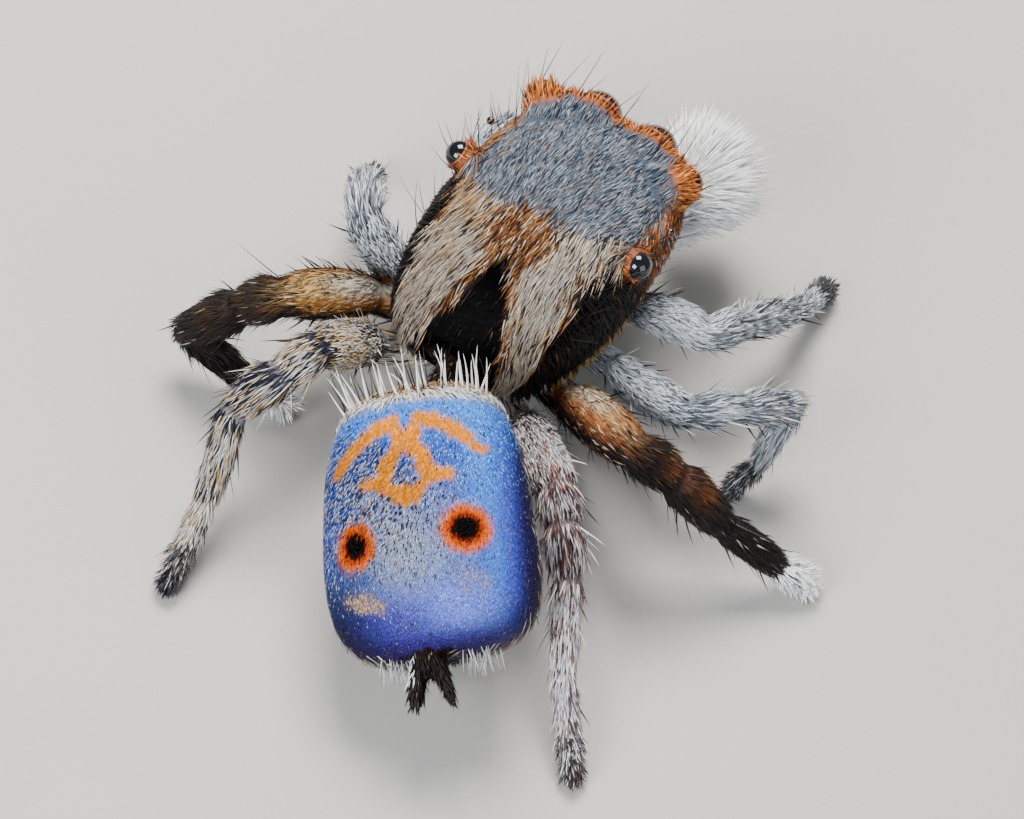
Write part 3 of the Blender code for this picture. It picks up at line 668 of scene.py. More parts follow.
def scatter(skin, parts, cell):
    """Spread roots evenly over the named parts, one to a cell of that size."""
    numbers = [PARTS[name] for name in parts]
    triangles = skin.triangles[np.isin(skin.part[skin.triangles[:, 0]], numbers)]
    a, b, c = (skin.points[triangles[:, k]] for k in range(3))
    area = np.linalg.norm(np.cross(b - a, c - a), axis=1) / 2
    count = int(area.sum() / cell**2 * OVERSAMPLE) + 1
    pick = RNG.choice(len(triangles), count, p=area / area.sum())
    weights = RNG.dirichlet((1.0, 1.0, 1.0), count)
    corners = triangles[pick]
    points = (skin.points[corners] * weights[:, :, None]).sum(1)
    key = np.floor(points / cell).astype(np.int64) + CELL_OFFSET
    key = (key[:, 0] * CELL_COUNT + key[:, 1]) * CELL_COUNT + key[:, 2]
    _, first = np.unique(key, return_index=True)
    first = np.sort(first)
    corners, weights, points = corners[first], weights[first], points[first]
    normals = unit((skin.normals[corners] * weights[:, :, None]).sum(1))
    close = corners[np.arange(len(corners)), weights.argmax(1)]
    return Places(
        p=points, n=normals, part=skin.part[close], u=skin.u[close], v=skin.v[close], lie=skin.lie[close],
    )


def tangent(directions, normals):
    """Lay each direction flat on the surface."""
    return unit(directions - normals * (directions * normals).sum(1, keepdims=True))


# Strands

BLADE_ANGLES = (0.0, math.pi / 2, math.pi)
ROUND_ANGLES = tuple(2 * math.pi * k / 5 for k in range(5))
# Rings of a hair: share of its length and of its half width.
SCALE_RINGS = ((0.2, 1.0),)
SHORT_RINGS = ((0.0, 0.55), (0.45, 1.0))
LONG_RINGS = ((0.0, 0.8), (0.35, 1.0), (0.7, 0.7))
BRISTLE_RINGS = ((0.0, 1.0), (0.2, 0.95), (0.4, 0.8), (0.6, 0.6), (0.8, 0.38))
# No hair reaches lower than this over the floor.
FLOOR_GAP = 0.004
HAIR_FLATNESS = 0.45
CURL = 0.12
ROOT_DEPTH = 0.004


def strands(name, roots, aims, bends, sides_way, lengths, radii, rings, colours, places, mat, flat=1.0,
            angles=BLADE_ANGLES):
    """Make many tapered closed hairs as one piece.

    rings is a list of (share of the length, share of the radius) and the tip closes them.
    colours is (root colours, tip colours); places gives each root's place on the bake map.
    """
    count = len(roots)
    t = np.array([r[0] for r in rings] + [1.0])
    width = np.array([r[1] for r in rings])
    aims, bends = unit(aims), np.asarray(bends, float)
    lengths, radii = np.broadcast_to(lengths, count), np.broadcast_to(radii, count)
    centre = roots[:, None] + lengths[:, None, None] * (
        aims[:, None] * t[None, :, None] + bends[:, None] * (t**2)[None, :, None]
    )
    heading = unit(aims[:, None] + 2 * bends[:, None] * t[None, :-1, None])
    side = unit(sides_way[:, None] - heading * (sides_way[:, None] * heading).sum(-1, keepdims=True))
    up = np.cross(heading, side)
    angles = np.asarray(angles)
    corners = len(angles)
    spread = radii[:, None, None, None] * width[None, :, None, None]
    ring_points = centre[:, :-1, None] + spread * (
        side[:, :, None] * np.cos(angles)[None, None, :, None]
        + up[:, :, None] * np.sin(angles)[None, None, :, None] * flat
    )
    rows = len(rings)
    per = rows * corners + 1
    points = np.concatenate((ring_points.reshape(count, rows * corners, 3), centre[:, -1:]), axis=1)
    faces = []
    for k in range(rows - 1):
        for s in range(corners):
            n = (s + 1) % corners
            a, b, c, d = k * corners + s, k * corners + n, (k + 1) * corners + n, (k + 1) * corners + s
            faces += [(a, b, c), (a, c, d)]
    top = (rows - 1) * corners
    faces += [(top + s, top + (s + 1) % corners, per - 1) for s in range(corners)]
    faces += [(0, s + 1, s) for s in range(1, corners - 1)]
    faces = np.array(faces)
    triangles = (faces[None] + (np.arange(count) * per)[:, None, None]).reshape(-1, 3)
    share = np.append(np.repeat(t[:-1], corners), 1.0)
    across = np.append(np.tile(np.cos(angles), rows), 0.0)
    root_colour, tip_colour = colours
    points[..., 2] = np.maximum(points[..., 2], FLOOR_GAP)
    tint = root_colour[:, None] * (1 - share)[None, :, None] + tip_colour[:, None] * share[None, :, None]
    uv = np.empty((count, per, 2))
    uv[..., 0] = places[:, None, 0] + across * PATCH / 2
    uv[..., 1] = places[:, None, 1] + (share - 0.5) * PATCH
    points, tint, uv = points.reshape(-1, 3), tint.reshape(-1, 3), uv.reshape(-1, 2)
    return make_piece(name, points, triangles, mat, tint, uv)


def in_frame(points):
    """Give points of the spider's own axes, in rows, as points of the frame."""
    return ((points + np.array(SHIFT)) * MM).astype(np.float32).ravel()


def make_piece(name, points, triangles, mat, tint=None, uv=None):
    """Make one piece of the model from points in millimetres."""
    mesh = bpy.data.meshes.new(name)
    mesh.vertices.add(len(points))
    mesh.vertices.foreach_set("co", in_frame(points))
    mesh.loops.add(triangles.size)
    mesh.loops.foreach_set("vertex_index", triangles.astype(np.int32).ravel())
    mesh.polygons.add(len(triangles))
    mesh.polygons.foreach_set("loop_start", np.arange(0, triangles.size, 3, dtype=np.int32))
    mesh.polygons.foreach_set("loop_total", np.full(len(triangles), 3, dtype=np.int32))
    mesh.update(calc_edges=True)
    mesh.polygons.foreach_set("use_smooth", np.full(len(triangles), True))
    if tint is not None:
        paint(mesh, tint)
    if uv is not None:
        layer = mesh.uv_layers.new(name=BAKE_MAP)
        layer.data.foreach_set("uv", uv[triangles.ravel()].astype(np.float32).ravel())
    mesh.materials.append(mat)
    obj = bpy.data.objects.new(name, mesh)
    bpy.context.scene.collection.objects.link(obj)
    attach(obj, BODY)
    return obj


def paint(mesh, tint):
    """Write the colours of the points to the mesh."""
    layer = mesh.color_attributes.new(name=MARK, type="FLOAT_COLOR", domain="POINT")
    rgba = np.column_stack((np.clip(tint, 0, 1), np.ones(len(tint))))
    layer.data.foreach_set("color", rgba.astype(np.float32).ravel())


def combed(name, roots, lie, shade, length, lift, mat, rings=SHORT_RINGS, coat=None):
    """Lay flat hairs on the skin, combed towards the directions of lie."""
    kind = COATS[coat or name]
    count = len(roots)
    lie = tangent(lie, roots.n)
    lie = unit(lie + np.cross(roots.n, lie) * RNG.normal(0, kind.stray, count)[:, None])
    side = unit(np.cross(roots.n, lie))
    lift = lift * RNG.uniform(0.6, 1.4, count)
    aims = lie * np.cos(lift)[:, None] + roots.n * np.sin(lift)[:, None]
    bends = -roots.n * (np.sin(lift) * CURL * 2)[:, None] + side * RNG.normal(0, 0.08, count)[:, None]
    return strands(
        name, roots.p - roots.n * ROOT_DEPTH, aims, bends, side, length, kind.width / 2, rings,
        (shade * kind.root_share, shade), bake_places(roots), mat, flat=HAIR_FLATNESS,
    )


def bake_places(roots):
    """Unwrap the roots: each part is a band of the map, its length along it."""
    numbers = np.unique(roots.part)
    band = np.searchsorted(numbers, roots.part)
    edge = 2 * PATCH
    u = edge + (1 - 2 * edge) * np.clip(roots.u, 0, 1)
    v = (band + 0.02 + 0.96 * np.mod(roots.v, 1.0)) / len(numbers)
    return np.column_stack((u, edge + (1 - 2 * edge) * v))


def mixed(options, shares, count):
    """Give each hair one of the colours, by the share of each."""
    shares = np.asarray(shares, float)
    if shares.ndim == 1:
        shares = np.tile(shares, (count, 1))
    edges = np.cumsum(shares / shares.sum(1, keepdims=True), axis=1)
    pick = (RNG.random(count)[:, None] > edges).sum(1).clip(0, len(options) - 1)
    return np.array(options)[pick]


def varied(colours, amount):
    """Lighten or darken each hair a little."""
    return colours * RNG.uniform(1 - amount, 1 + amount, len(colours))[:, None]


# Materials

ROUGH_RANGE = 0.12


def tree_of(mat):
    """Give a material's nodes, links and shader."""
    nodes, links = mat.node_tree.nodes, mat.node_tree.links
    return nodes, links, nodes["Principled BSDF"]


def new_material(name, values):
    """Make a material and set values of its shader."""
    mat = bpy.data.materials.new(name)
    mat.use_nodes = True
    shader = tree_of(mat)[2]
    for key, value in values.items():
        shader.inputs[key].default_value = value
    return mat


def grain_in(mat, scale, detail=2.0):
    """Add a noise to a material and give its output."""
    nodes, links, _ = tree_of(mat)
    where = nodes.new("ShaderNodeTexCoord")
    grain = nodes.new("ShaderNodeTexNoise")
    grain.inputs["Scale"].default_value = scale
    grain.inputs["Detail"].default_value = detail
    links.new(where.outputs["Object"], grain.inputs["Vector"])
    return grain.outputs["Fac"]


def spread(mat, value, low, high):
    """Spread a noise between two values and give the output."""
    nodes, links, _ = tree_of(mat)
    ramp = nodes.new("ShaderNodeMapRange")
    ramp.inputs["From Min"].default_value = 0.3
    ramp.inputs["From Max"].default_value = 0.7
    ramp.inputs["To Min"].default_value = low
    ramp.inputs["To Max"].default_value = high
    links.new(value, ramp.inputs["Value"])
    return ramp.outputs["Result"]


def painted_material(name, roughness, grain, depth, specular, sheen=0.0):
    """Make a material whose colour follows the marks, broken up by a grain."""
    mat = new_material(
        name, {"Specular IOR Level": specular, "Sheen Weight": sheen, "Sheen Roughness": 0.4},
    )
    nodes, links, shader = tree_of(mat)
    speck = grain_in(mat, grain, 3.0)
    mark = nodes.new("ShaderNodeAttribute")
    mark.attribute_name = MARK
    tone = nodes.new("ShaderNodeVectorMath")
    tone.operation = "SCALE"
    links.new(mark.outputs["Color"], tone.inputs[0])
    links.new(spread(mat, speck, 1 - depth, 1 + depth), tone.inputs["Scale"])
    links.new(tone.outputs["Vector"], shader.inputs["Base Color"])
    rough = spread(mat, speck, roughness - ROUGH_RANGE, roughness + ROUGH_RANGE)
    links.new(rough, shader.inputs["Roughness"])
    return mat


def add_bump(mat, scale, strength, distance):
    """Add a fine relief to a material."""
    nodes, links, shader = tree_of(mat)
    bump = nodes.new("ShaderNodeBump")
    bump.inputs["Strength"].default_value = strength
    bump.inputs["Distance"].default_value = distance
    links.new(grain_in(mat, scale, 4.0), bump.inputs["Height"])
    links.new(bump.outputs["Normal"], shader.inputs["Normal"])
    return mat


def clouded_material(name, scale, tones, values, stops=(0.0, 1.0)):
    """Make a material whose colour runs between two tones."""
    mat = new_material(name, values)
    nodes, links, shader = tree_of(mat)
    ramp = nodes.new("ShaderNodeValToRGB")
    for element, stop, tone in zip(ramp.color_ramp.elements, stops, tones):
        element.position = stop
        element.color = (*tone, 1.0)
    links.new(grain_in(mat, scale), ramp.inputs["Fac"])
    links.new(ramp.outputs["Color"], shader.inputs["Base Color"])
    return mat


def eye_material():
    """Make the dark glassy material of the eyes."""
    values = {
        "Roughness": 0.05, "Specular IOR Level": 0.5, "Coat Weight": 0.35, "Coat Roughness": 0.03,
    }
    return clouded_material("eye_lens", 6000.0, ((0.0012, 0.0012, 0.002), (0.004, 0.008, 0.011)), values)


def ring_material():
    """Make the orange-brown skin of the rings round the eyes."""
    tones = ((0.06, 0.018, 0.008), (0.42, 0.11, 0.025))
    mat = clouded_material("eye_ring", 22000.0, tones, {"Roughness": 0.4}, (0.35, 0.65))
    return add_bump(mat, 50000.0, 0.4, 0.000006)


# Markings

# Zones of the head: the plate's rear edge (at the middle, its slant and its bow), the plate's side
# and lower edges, the patch behind it and the black band, whose rear lies a little to the right.
PLATE_REAR = (0.17, 0.20, 0.45)
PLATE_SIDE = 0.69
PLATE_LOW = 1.46
PATCH_Y = 0.33
PATCH_HALF = (0.25, 0.24)
BAND_APEX = 0.47
BAND_SPREAD = 0.50
BAND_SHIFT = 0.08
# Upper edge of the black cheeks: y and height.
CHEEK_TOP = (
    (-1.1, 1.32), (-0.3, 1.42), (0.3, 1.56), (0.45, 1.52), (0.55, 1.47), (0.72, 1.40), (0.82, 1.32),
    (1.0, 1.06), (1.1, 0.8),
)


def head_zones(p):
    """Give the share of each kind of coat at points of the head."""
    x, y, z = np.abs(p[:, 0]), p[:, 1], p[:, 2]
    wobble = noise(p, 0.10, 5) * 0.04
    shares = {"flank": np.ones(len(p))}

    def over(name, weight):
        """Let a zone take its share from the ones below it."""
        for key in shares:
            shares[key] = shares[key] * (1 - weight)
        shares[name] = shares.get(name, 0) + weight

    middle, slant, bow = PLATE_REAR
    plate = soft(middle + slant * p[:, 0] - bow * x**2 - y + wobble, 0.0, 0.03)
    over("plate", plate * soft(z, PLATE_LOW, 0.02) * soft(PLATE_SIDE - x, 0.0, 0.015))
    away = np.hypot(p[:, 0] / PATCH_HALF[0], (y - PATCH_Y) / PATCH_HALF[1]) + wobble * 2
    over("patch", soft(1.0 - away, 0.0, 0.10) * soft(z, 1.4, 0.02))
    over("patch", soft(0.72 - z, 0.0, 0.02) * soft(y, -0.4, 0.1) * 0.3)
    across = np.abs(p[:, 0] + BAND_SHIFT * soft(y, 0.72, 0.10))
    half = np.maximum(BAND_SPREAD * (y - BAND_APEX), 0.0) + wobble * 0.5
    edge = soft(0.055 - np.abs(across - half - 0.03), 0.0, 0.012)
    over("patch", 0.85 * edge * soft(y, 0.50, 0.05) * soft(1.05 - y, 0, 0.03))
    # The band is bare black skin, painted pure black also for the deep shade it lies in on the rear slope.
    over("band", soft(half - across, 0.0, 0.010) * soft(y, 0.49, 0.01))
    over("band", soft(y, 1.13, 0.01))
    above = np.interp(y, *zip(*CHEEK_TOP)) - z + wobble
    low = soft(above, 0.0, 0.012) * soft(x, 0.35, 0.02)
    over("patch", 0.8 * soft(0.05 - np.abs(above), 0.0, 0.015) * soft(x, 0.5, 0.02))
    over("cheek", low)
    over("face", low * soft(-0.28 - y, 0.0, 0.05))
    over("face", soft(-0.98 - y, 0.0, 0.02) * soft(1.5 - z, 0, 0.02))
    rim = soft(x, 0.665, 0.012) * soft(-0.03 - y + wobble, 0.0, 0.03) * soft(z, 1.36, 0.02)
    for _, centre, radius, gaze, _ in EYES:
        away = np.column_stack((x, y, z)) - centre
        near = np.linalg.norm(away, axis=1)
        ahead = away @ unit(np.array(gaze)) / near
        reach, back = RIM_REACH[radius]
        rim = np.maximum(rim, soft(radius + reach - near, 0.0, 0.010) * soft(ahead, back, 0.06))
    over("rim", rim)
    over("below", soft(0.70 - z, 0.0, 0.02))
    return shares


def abdomen_frame(p):
    """Give how far points lie rearward, leftward and upward of the abdomen's centre."""
    rear, left, up = ABDOMEN_AXES
    away = p - ABDOMEN_CENTRE
    return away @ rear, away @ left, away @ up


def near_line(a, l, points):
    """Give the distance in the abdomen's plan from a line through points."""
    best = np.full(len(a), 9.0)
    for (a0, l0), (a1, l1) in zip(points, points[1:]):
        t = np.clip(((a - a0) * (a1 - a0) + (l - l0) * (l1 - l0)) / ((a1 - a0) ** 2 + (l1 - l0) ** 2), 0, 1)
        best = np.minimum(best, np.hypot(a - a0 - t * (a1 - a0), l - l0 - t * (l1 - l0)))
    return best


# Lines of the orange mark on one half of the back (rearward, sideward) with their half widths.
MARK_LINES = (
    (((-0.61, 0.085), (-0.575, 0.20)), 0.064),
    (((-0.575, 0.20), (-0.52, 0.30), (-0.45, 0.395)), 0.050),
    (((-0.45, 0.395), (-0.37, 0.475), (-0.335, 0.525)), 0.043),
    (((-0.55, 0.06), (-0.47, 0.03), (-0.40, 0.04)), 0.066),
    (((-0.40, 0.045), (-0.30, 0.115), (-0.19, 0.145)), 0.056),
    (((-0.19, 0.145), (-0.13, 0.19)), 0.064),
    (((-0.13, 0.20), (-0.14, 0.29)), 0.047),
    (((-0.10, 0.15), (-0.03, 0.085)), 0.044),
    (((-0.015, 0.0), (-0.015, 0.05)), 0.072),
    (((0.01, 0.0), (0.055, 0.0)), 0.034),
)
NOTCH = (((-0.80, 0.0), (-0.59, 0.0)), 0.048)
OCELLUS = (0.290, 0.402)
RING_RADIUS = 0.170
RING_EDGE_FROM = 0.136
SPOT_RADIUS = 0.102
# The ring on the left is this much narrower sideways.
LEFT_SQUEEZE = 1.2


def abdomen_marks(p):
    """Give the share of the orange mark, ring, its outer edge, black spot and pale spots at points."""
    a, l, _ = abdomen_frame(p)
    wobble = noise(p, 0.045, 11) * 0.020 + noise(p, 0.014, 12) * 0.012
    slant = a + 0.35 * (l - 0.43)
    ochre = 0.9 * soft(1 - np.hypot((slant - 0.70) / 0.065, (l - 0.43) / 0.15) + wobble * 8, 0.0, 0.12)
    ochre += 0.35 * soft(1 - np.hypot((a - 0.66) / 0.09, (l + 0.37) / 0.12) + wobble * 8, 0.0, 0.15)
    # The pattern's middle drifts a little to the left towards the rear.
    l = l - np.interp(a, (-0.6, 0.1), (0.036, 0.052))
    squeeze = np.where(l > 0, LEFT_SQUEEZE, 1.0)
    l = np.abs(l)

    def drawn(line, width):
        """Give the share of one line."""
        return soft(width - near_line(a, l, line) + wobble, 0.0, 0.007)

    orange = np.max([drawn(*line) for line in MARK_LINES], axis=0) * (1 - drawn(*NOTCH))
    away = np.hypot(a - OCELLUS[0], (l - OCELLUS[1]) * squeeze) + wobble * 0.35
    ring = soft(RING_RADIUS - away, 0.0, 0.012)
    spot = soft(SPOT_RADIUS - away, 0.0, 0.007)
    outer = ring * soft(away, RING_EDGE_FROM, 0.010)
    return orange, ring, outer, spot, ochre


def pool(a, l, at, half):
    """Rise to 1 at a place of the abdomen's plan and fall away round it."""
    return np.exp(-(((a - at[0]) / half[0]) ** 2) - ((l - at[1]) / half[1]) ** 2)


def abdomen_ground(p):
    """Give the iridescent ground colour of the back and sides, washed over in turn; some washes are a
    painted reflection, a painted highlight and painted shade.
    """
    a, l, h = abdomen_frame(p)
    cloud = noise(p, 0.22, 21) * 0.25
    ground = filled(BLUE, len(p))
    for colour, weight in (
        # A pale pool in the middle of the back is painted reflection.
        (REFLECTION_LILAC, 0.85 * pool(a, l, (0.36, 0.06), (0.46, 0.46)) + cloud * 0.4),
        (REFLECTION_GREY_GREEN, 0.55 * pool(a, l, (0.42, 0.10), (0.24, 0.26))),
        (CYAN, 0.95 * soft(-l, 0.42 + 0.1 * a, 0.06) * soft(0.84 - a, 0.0, 0.10)),
        (CYAN, 0.8 * soft(-a, 0.52, 0.06) * soft(0.62 - np.abs(l), 0.0, 0.08)),
        # A painted highlight of bright blue over the rear.
        (HIGHLIGHT_BLUE, 0.95 * pool(a, l, (0.84, -0.24), (0.17, 0.34))),
        (VIOLET, 0.85 * soft(a, 0.94, 0.015)),
        (VIOLET, 0.7 * soft(a, 0.74, 0.05) * soft(l, -0.02, 0.08)),
        # Painted shade: dark navy over the rear of the left side.
        (NAVY, 0.95 * soft(l, 0.42, 0.08) * soft(a, 0.44, 0.10)),
        # Painted shade: dark violet down the right flank, which turns away from the light, and along the
        # lower sides.
        (VIOLET, 0.8 * soft(-l, 0.57, 0.03) * soft(a, -0.6, 0.2)),
        (SHADE_VIOLET, 0.9 * soft(-l, 0.67, 0.02) * soft(a, -0.5, 0.15)),
        (SHADE_VIOLET, 0.9 * soft(-h, -0.20, 0.05) * soft(a, -0.7, 0.1)),
    ):
        ground = blend(ground, colour, np.clip(weight, 0, 1))
    return ground


def leg_shades(side, pair, u, v):
    """Give the share of dark hair along one leg, its dark bands and its streaks."""
    joints = LEG_JOINTS[(side, pair)]
    bands = np.zeros(len(u))
    for joint in joints[1:4]:
        bands = np.maximum(bands, peak(u, joint, 0.022))
    bands = np.maximum(bands, 0.7 * peak(u, (joints[3] + joints[2]) / 2, 0.018))
    turn = v * 2 * math.pi
    streak = noise(np.column_stack((u * 9.0, np.cos(turn) * 0.5, np.sin(turn) * 0.5)), 0.30, pair * 7 + 3)
    dark = np.clip(0.20 + 0.34 * streak + 0.65 * bands + soft(u, 0.955, 0.006), 0, 1)
    return dark, bands, streak


# Leg coats: pale, second pale, dark and warm colour, and the share of dark hair.
LEG_COLOURS = {
    ("left", 4): (CREAM, (0.52, 0.52, 0.54), (0.012, 0.013, 0.024), (0.44, 0.27, 0.09), 1.0),
    ("right", 4): (
        (0.76, 0.75, 0.77), (0.52, 0.47, 0.49), (0.090, 0.045, 0.045), (0.34, 0.17, 0.12), 0.75,
    ),
    ("left", 3): (
        (0.42, 0.39, 0.33), (0.44, 0.28, 0.10), (0.012, 0.009, 0.009), (0.34, 0.15, 0.04), 1.0,
    ),
    ("right", 3): (
        (0.50, 0.42, 0.30), (0.32, 0.16, 0.06), (0.012, 0.009, 0.009), (0.26, 0.09, 0.03), 1.0,
    ),
}
GREY_LEG = ((0.70, 0.73, 0.78), (0.46, 0.50, 0.56), (0.12, 0.135, 0.16), (0.60, 0.62, 0.66), 0.75)
# Strength of the warm patch past the knee of the third legs.
KNEE_PATCH = {"left": 0.10, "right": 0.75}


def thigh_stripes(side, pair, u, v, streak):
    """Give the colours of the nearly bare third legs, striped lengthwise, dark past the knee."""
    pale, second, dark, warm, _ = LEG_COLOURS[(side, pair)]
    hip, knee, patella, shin, _ = LEG_JOINTS[(side, pair)]
    off = np.abs(np.mod(v - 0.25, 1.0) - 0.5) + 0.03 * streak
    flank = blend(dark, warm, soft(0.175 - off, 0.0, 0.016))
    top = blend(pale, second, soft(u, hip * 0.35 + knee * 0.65, 0.02))
    thigh = blend(flank, top, soft(0.080 - off, 0.0, 0.012))
    patch = peak(u, knee * 0.45 + patella * 0.55, 0.016)
    patch = np.maximum(patch, peak(u, patella * 0.72 + shin * 0.28, 0.022))
    far = blend(dark, warm, patch * soft(0.13 - off, 0.0, 0.03) * KNEE_PATCH[side])
    return blend(thigh, far, soft(u, knee - 0.005, 0.008))


def leg_colours(side, pair, roots):
    """Give the hair colours of one leg."""
    *tones, darkness = LEG_COLOURS.get((side, pair), GREY_LEG)
    share, bands, streak = leg_shades(side, pair, roots.u, roots.v)
    count = len(roots)
    share = share * darkness
    light = 1 - share
    reddish = 0.30 * soft(-streak, 0.15, 0.10) + 0.5 * bands * (pair == 4)
    shades = mixed(tones, np.column_stack((0.60 * light, 0.34 * light, share, reddish * light)), count)
    if pair == 3:
        joints = LEG_JOINTS[(side, pair)]
        follow = RNG.random(count) < np.where(roots.u > joints[1], 0.96, 0.70)
        striped = thigh_stripes(side, pair, roots.u, roots.v, streak)
        shades = np.where(follow[:, None], striped, shades)
        white = varied(filled(WHITE, count), 0.05)
        tuft = RNG.random(count) < soft(roots.u, joints[4] + 0.012, 0.008)
        shades = np.where(tuft[:, None], white, shades)
    return varied(shades, 0.22)


# Colours of the bare skin under each coat of the head, and of the smaller parts.
HEAD_SKIN = {
    "plate": (0.055, 0.070, 0.090),
    "flank": (0.120, 0.100, 0.088),
    "patch": (0.085, 0.030, 0.012),
    "rim": (0.28, 0.070, 0.016),
    # Bare black skin, painted pure black also for the deep shade of the rear slope.
    "band": BLACK,
    "cheek": BLACK,
    "face": (0.09, 0.045, 0.02),
    "below": (0.05, 0.035, 0.025),
}
ABDOMEN_FRONT_SKIN = (0.35, 0.30, 0.24)
ABDOMEN_UNDER_SKIN = (0.16, 0.12, 0.10)
FOOT_PAD_SKIN = (0.6, 0.6, 0.6)
PART_SKIN = {
    "palp_left": (0.80, 0.79, 0.78),
    "palp_right": (0.80, 0.79, 0.78),
    "jaws": (0.075, 0.028, 0.012),
    "sternum": (0.035, 0.025, 0.02),
}


def head_skin(p):
    """Give the skin colours of the head."""
    zones = head_zones(p)
    return sum(zones[name][:, None] * np.array(tone) for name, tone in HEAD_SKIN.items())


def abdomen_skin(p):
    """Give the skin colours of the abdomen, its marks and the ground's painted reflection, highlight and
    shade included.
    """
    a, _, h = abdomen_frame(p)
    orange, ring, outer, spot, ochre = abdomen_marks(p)
    colour = abdomen_ground(p) * 0.55
    marks = ((ochre * 0.6, GOLD), (orange, MARK_ORANGE), (ring, RING_RED), (outer, RING_EDGE), (spot, BLACK))
    for weight, shade in marks:
        colour = blend(colour, shade, weight * soft(h, 0.12, 0.03))
    colour = blend(colour, ABDOMEN_FRONT_SKIN, soft(-a, 0.76, 0.02))
    return blend(colour, ABDOMEN_UNDER_SKIN, soft(-h, 0.12, 0.05))


def leg_skin(side, pair, u, v):
    """Give the skin colours of one leg."""
    share, _, streak = leg_shades(side, pair, u, v)
    if pair == 3:
        pad = soft(u, LEG_JOINTS[(side, pair)][4] + 0.02, 0.01)
        return blend(thigh_stripes(side, pair, u, v, streak), FOOT_PAD_SKIN, pad)
    second, dark = LEG_COLOURS.get((side, pair), GREY_LEG)[1:3]
    return blend(np.array(second) * 0.55, dark, share)


def paint_skin(skin):
    """Give the skin its colours, part by part, the same marks as the coat but darker."""
    tint = filled(WARM_BLACK, len(skin.points))
    for name, number in PARTS.items():
        here = skin.part == number
        if not here.any():
            continue
        if name == "head":
            tint[here] = head_skin(skin.points[here])
        elif name == "abdomen":
            tint[here] = abdomen_skin(skin.points[here])
        elif name.startswith("leg"):
            tint[here] = leg_skin(name[5:], int(name[3]), skin.u[here], skin.v[here])
        elif name in PART_SKIN:
            tint[here] = PART_SKIN[name]
    return tint


# Coat

TAN = (0.42, 0.235, 0.10)
RUST = (0.36, 0.15, 0.045)
UMBER = (0.07, 0.035, 0.015)
SOOT = (0.008, 0.006, 0.005)
BRIGHT_ORANGE = (0.78, 0.27, 0.06)
EYE_CLEARANCE = 0.012


def head_roots(skin, coat, *zones):
    """Give roots over zones of the head, thinned where the zones fade out and clear of the eyes."""
    roots = scatter(skin, ("head",), COATS[coat].cell)
    shares = head_zones(roots.p)
    weight = sum(shares[name] for name in zones)
    clear = np.ones(len(roots), bool)
    mirrored = np.abs(roots.p * (1, 0, 0)) + roots.p * (0, 1, 1)
    for _, centre, radius, _, _ in EYES:
        clear &= np.linalg.norm(mirrored - centre, axis=1) > radius + EYE_CLEARANCE
    return roots.only((RNG.random(len(roots)) < weight) & clear)


def coat_plate(skin, mat):
    """Lay the slate plate between the eyes."""
    roots = head_roots(skin, "coat_head_plate", "plate")
    lie = columns(-0.55 * roots.p[:, 0], 1.0, -0.1)
    tones, shares = (SLATE_PALE, SLATE_MIDDLE, SLATE_DARK, SLATE_WARM), (0.26, 0.36, 0.22, 0.16)
    streak = 1 + 0.22 * noise(roots.p, 0.16, 31)[:, None]
    shade = varied(mixed(tones, shares, len(roots)) * streak, 0.18)
    length = RNG.uniform(0.10, 0.155, len(roots))
    combed("coat_head_plate", roots, lie, shade, length, 0.15, mat)


def coat_flanks(skin, mat):
    """Lay the cream hair of the carapace's flanks."""
    roots = head_roots(skin, "coat_head_flanks", "flank")
    x, y, _ = roots.p.T
    wave = 0.30 * noise(roots.p, 0.30, 33)
    lie = columns(np.sign(x) * 0.25 * soft(y, 0.3, 0.2) + wave, 1.0, -0.45)
    warm = soft(0.42 - y, 0.0, 0.12) * soft(x, 0.1, 0.15)
    dark = np.clip(0.19 + 0.14 * noise(roots.p, 0.07, 35), 0.04, 0.6)
    shares = np.column_stack((0.38 * (1 - 0.5 * warm), 0.36 * (1 - warm), dark, 0.08 + 0.5 * warm))
    shade = mixed((CREAM, CREAM_GREY, CREAM_DARK, TAN), shares, len(roots))
    length = RNG.uniform(0.17, 0.25, len(roots))
    combed("coat_head_flanks", roots, lie, varied(shade, 0.18), length, 0.12, mat)


def coat_patch(skin, mat):
    """Lay the brown patch behind the plate and along the black band."""
    roots = head_roots(skin, "coat_head_patch", "patch")
    lie = columns(-0.3 * roots.p[:, 0], 1.0, -0.5)
    tones, shares = (ORANGE_BROWN, RUST, (0.030, 0.015, 0.010), CREAM), (0.38, 0.16, 0.34, 0.12)
    shade = varied(mixed(tones, shares, len(roots)), 0.25)
    length = RNG.uniform(0.12, 0.18, len(roots))
    combed("coat_head_patch", roots, lie, shade, length, 0.15, mat)


def coat_cheeks(skin, mat):
    """Lay the short black hair of the cheeks and the band, which is nearly bare."""
    roots = head_roots(skin, "coat_head_cheeks", "cheek", "band")
    bare = (roots.p[:, 1] > 0.62) & (np.abs(roots.p[:, 0]) < 0.5)
    roots = roots.only(~bare | (RNG.random(len(roots)) < 0.06))
    shade = varied(mixed((BLACK, SOOT, UMBER), (0.70, 0.26, 0.04), len(roots)), 0.3)
    low = soft(0.95 - roots.p[:, 2], 0.0, 0.05)
    length = RNG.uniform(0.09, 0.14, len(roots)) * (1 + 0.5 * low)
    lie = filled((0.0, -0.25, -1.0), len(roots))
    combed("coat_head_cheeks", roots, lie, shade, length, 0.20 + 0.2 * low, mat)


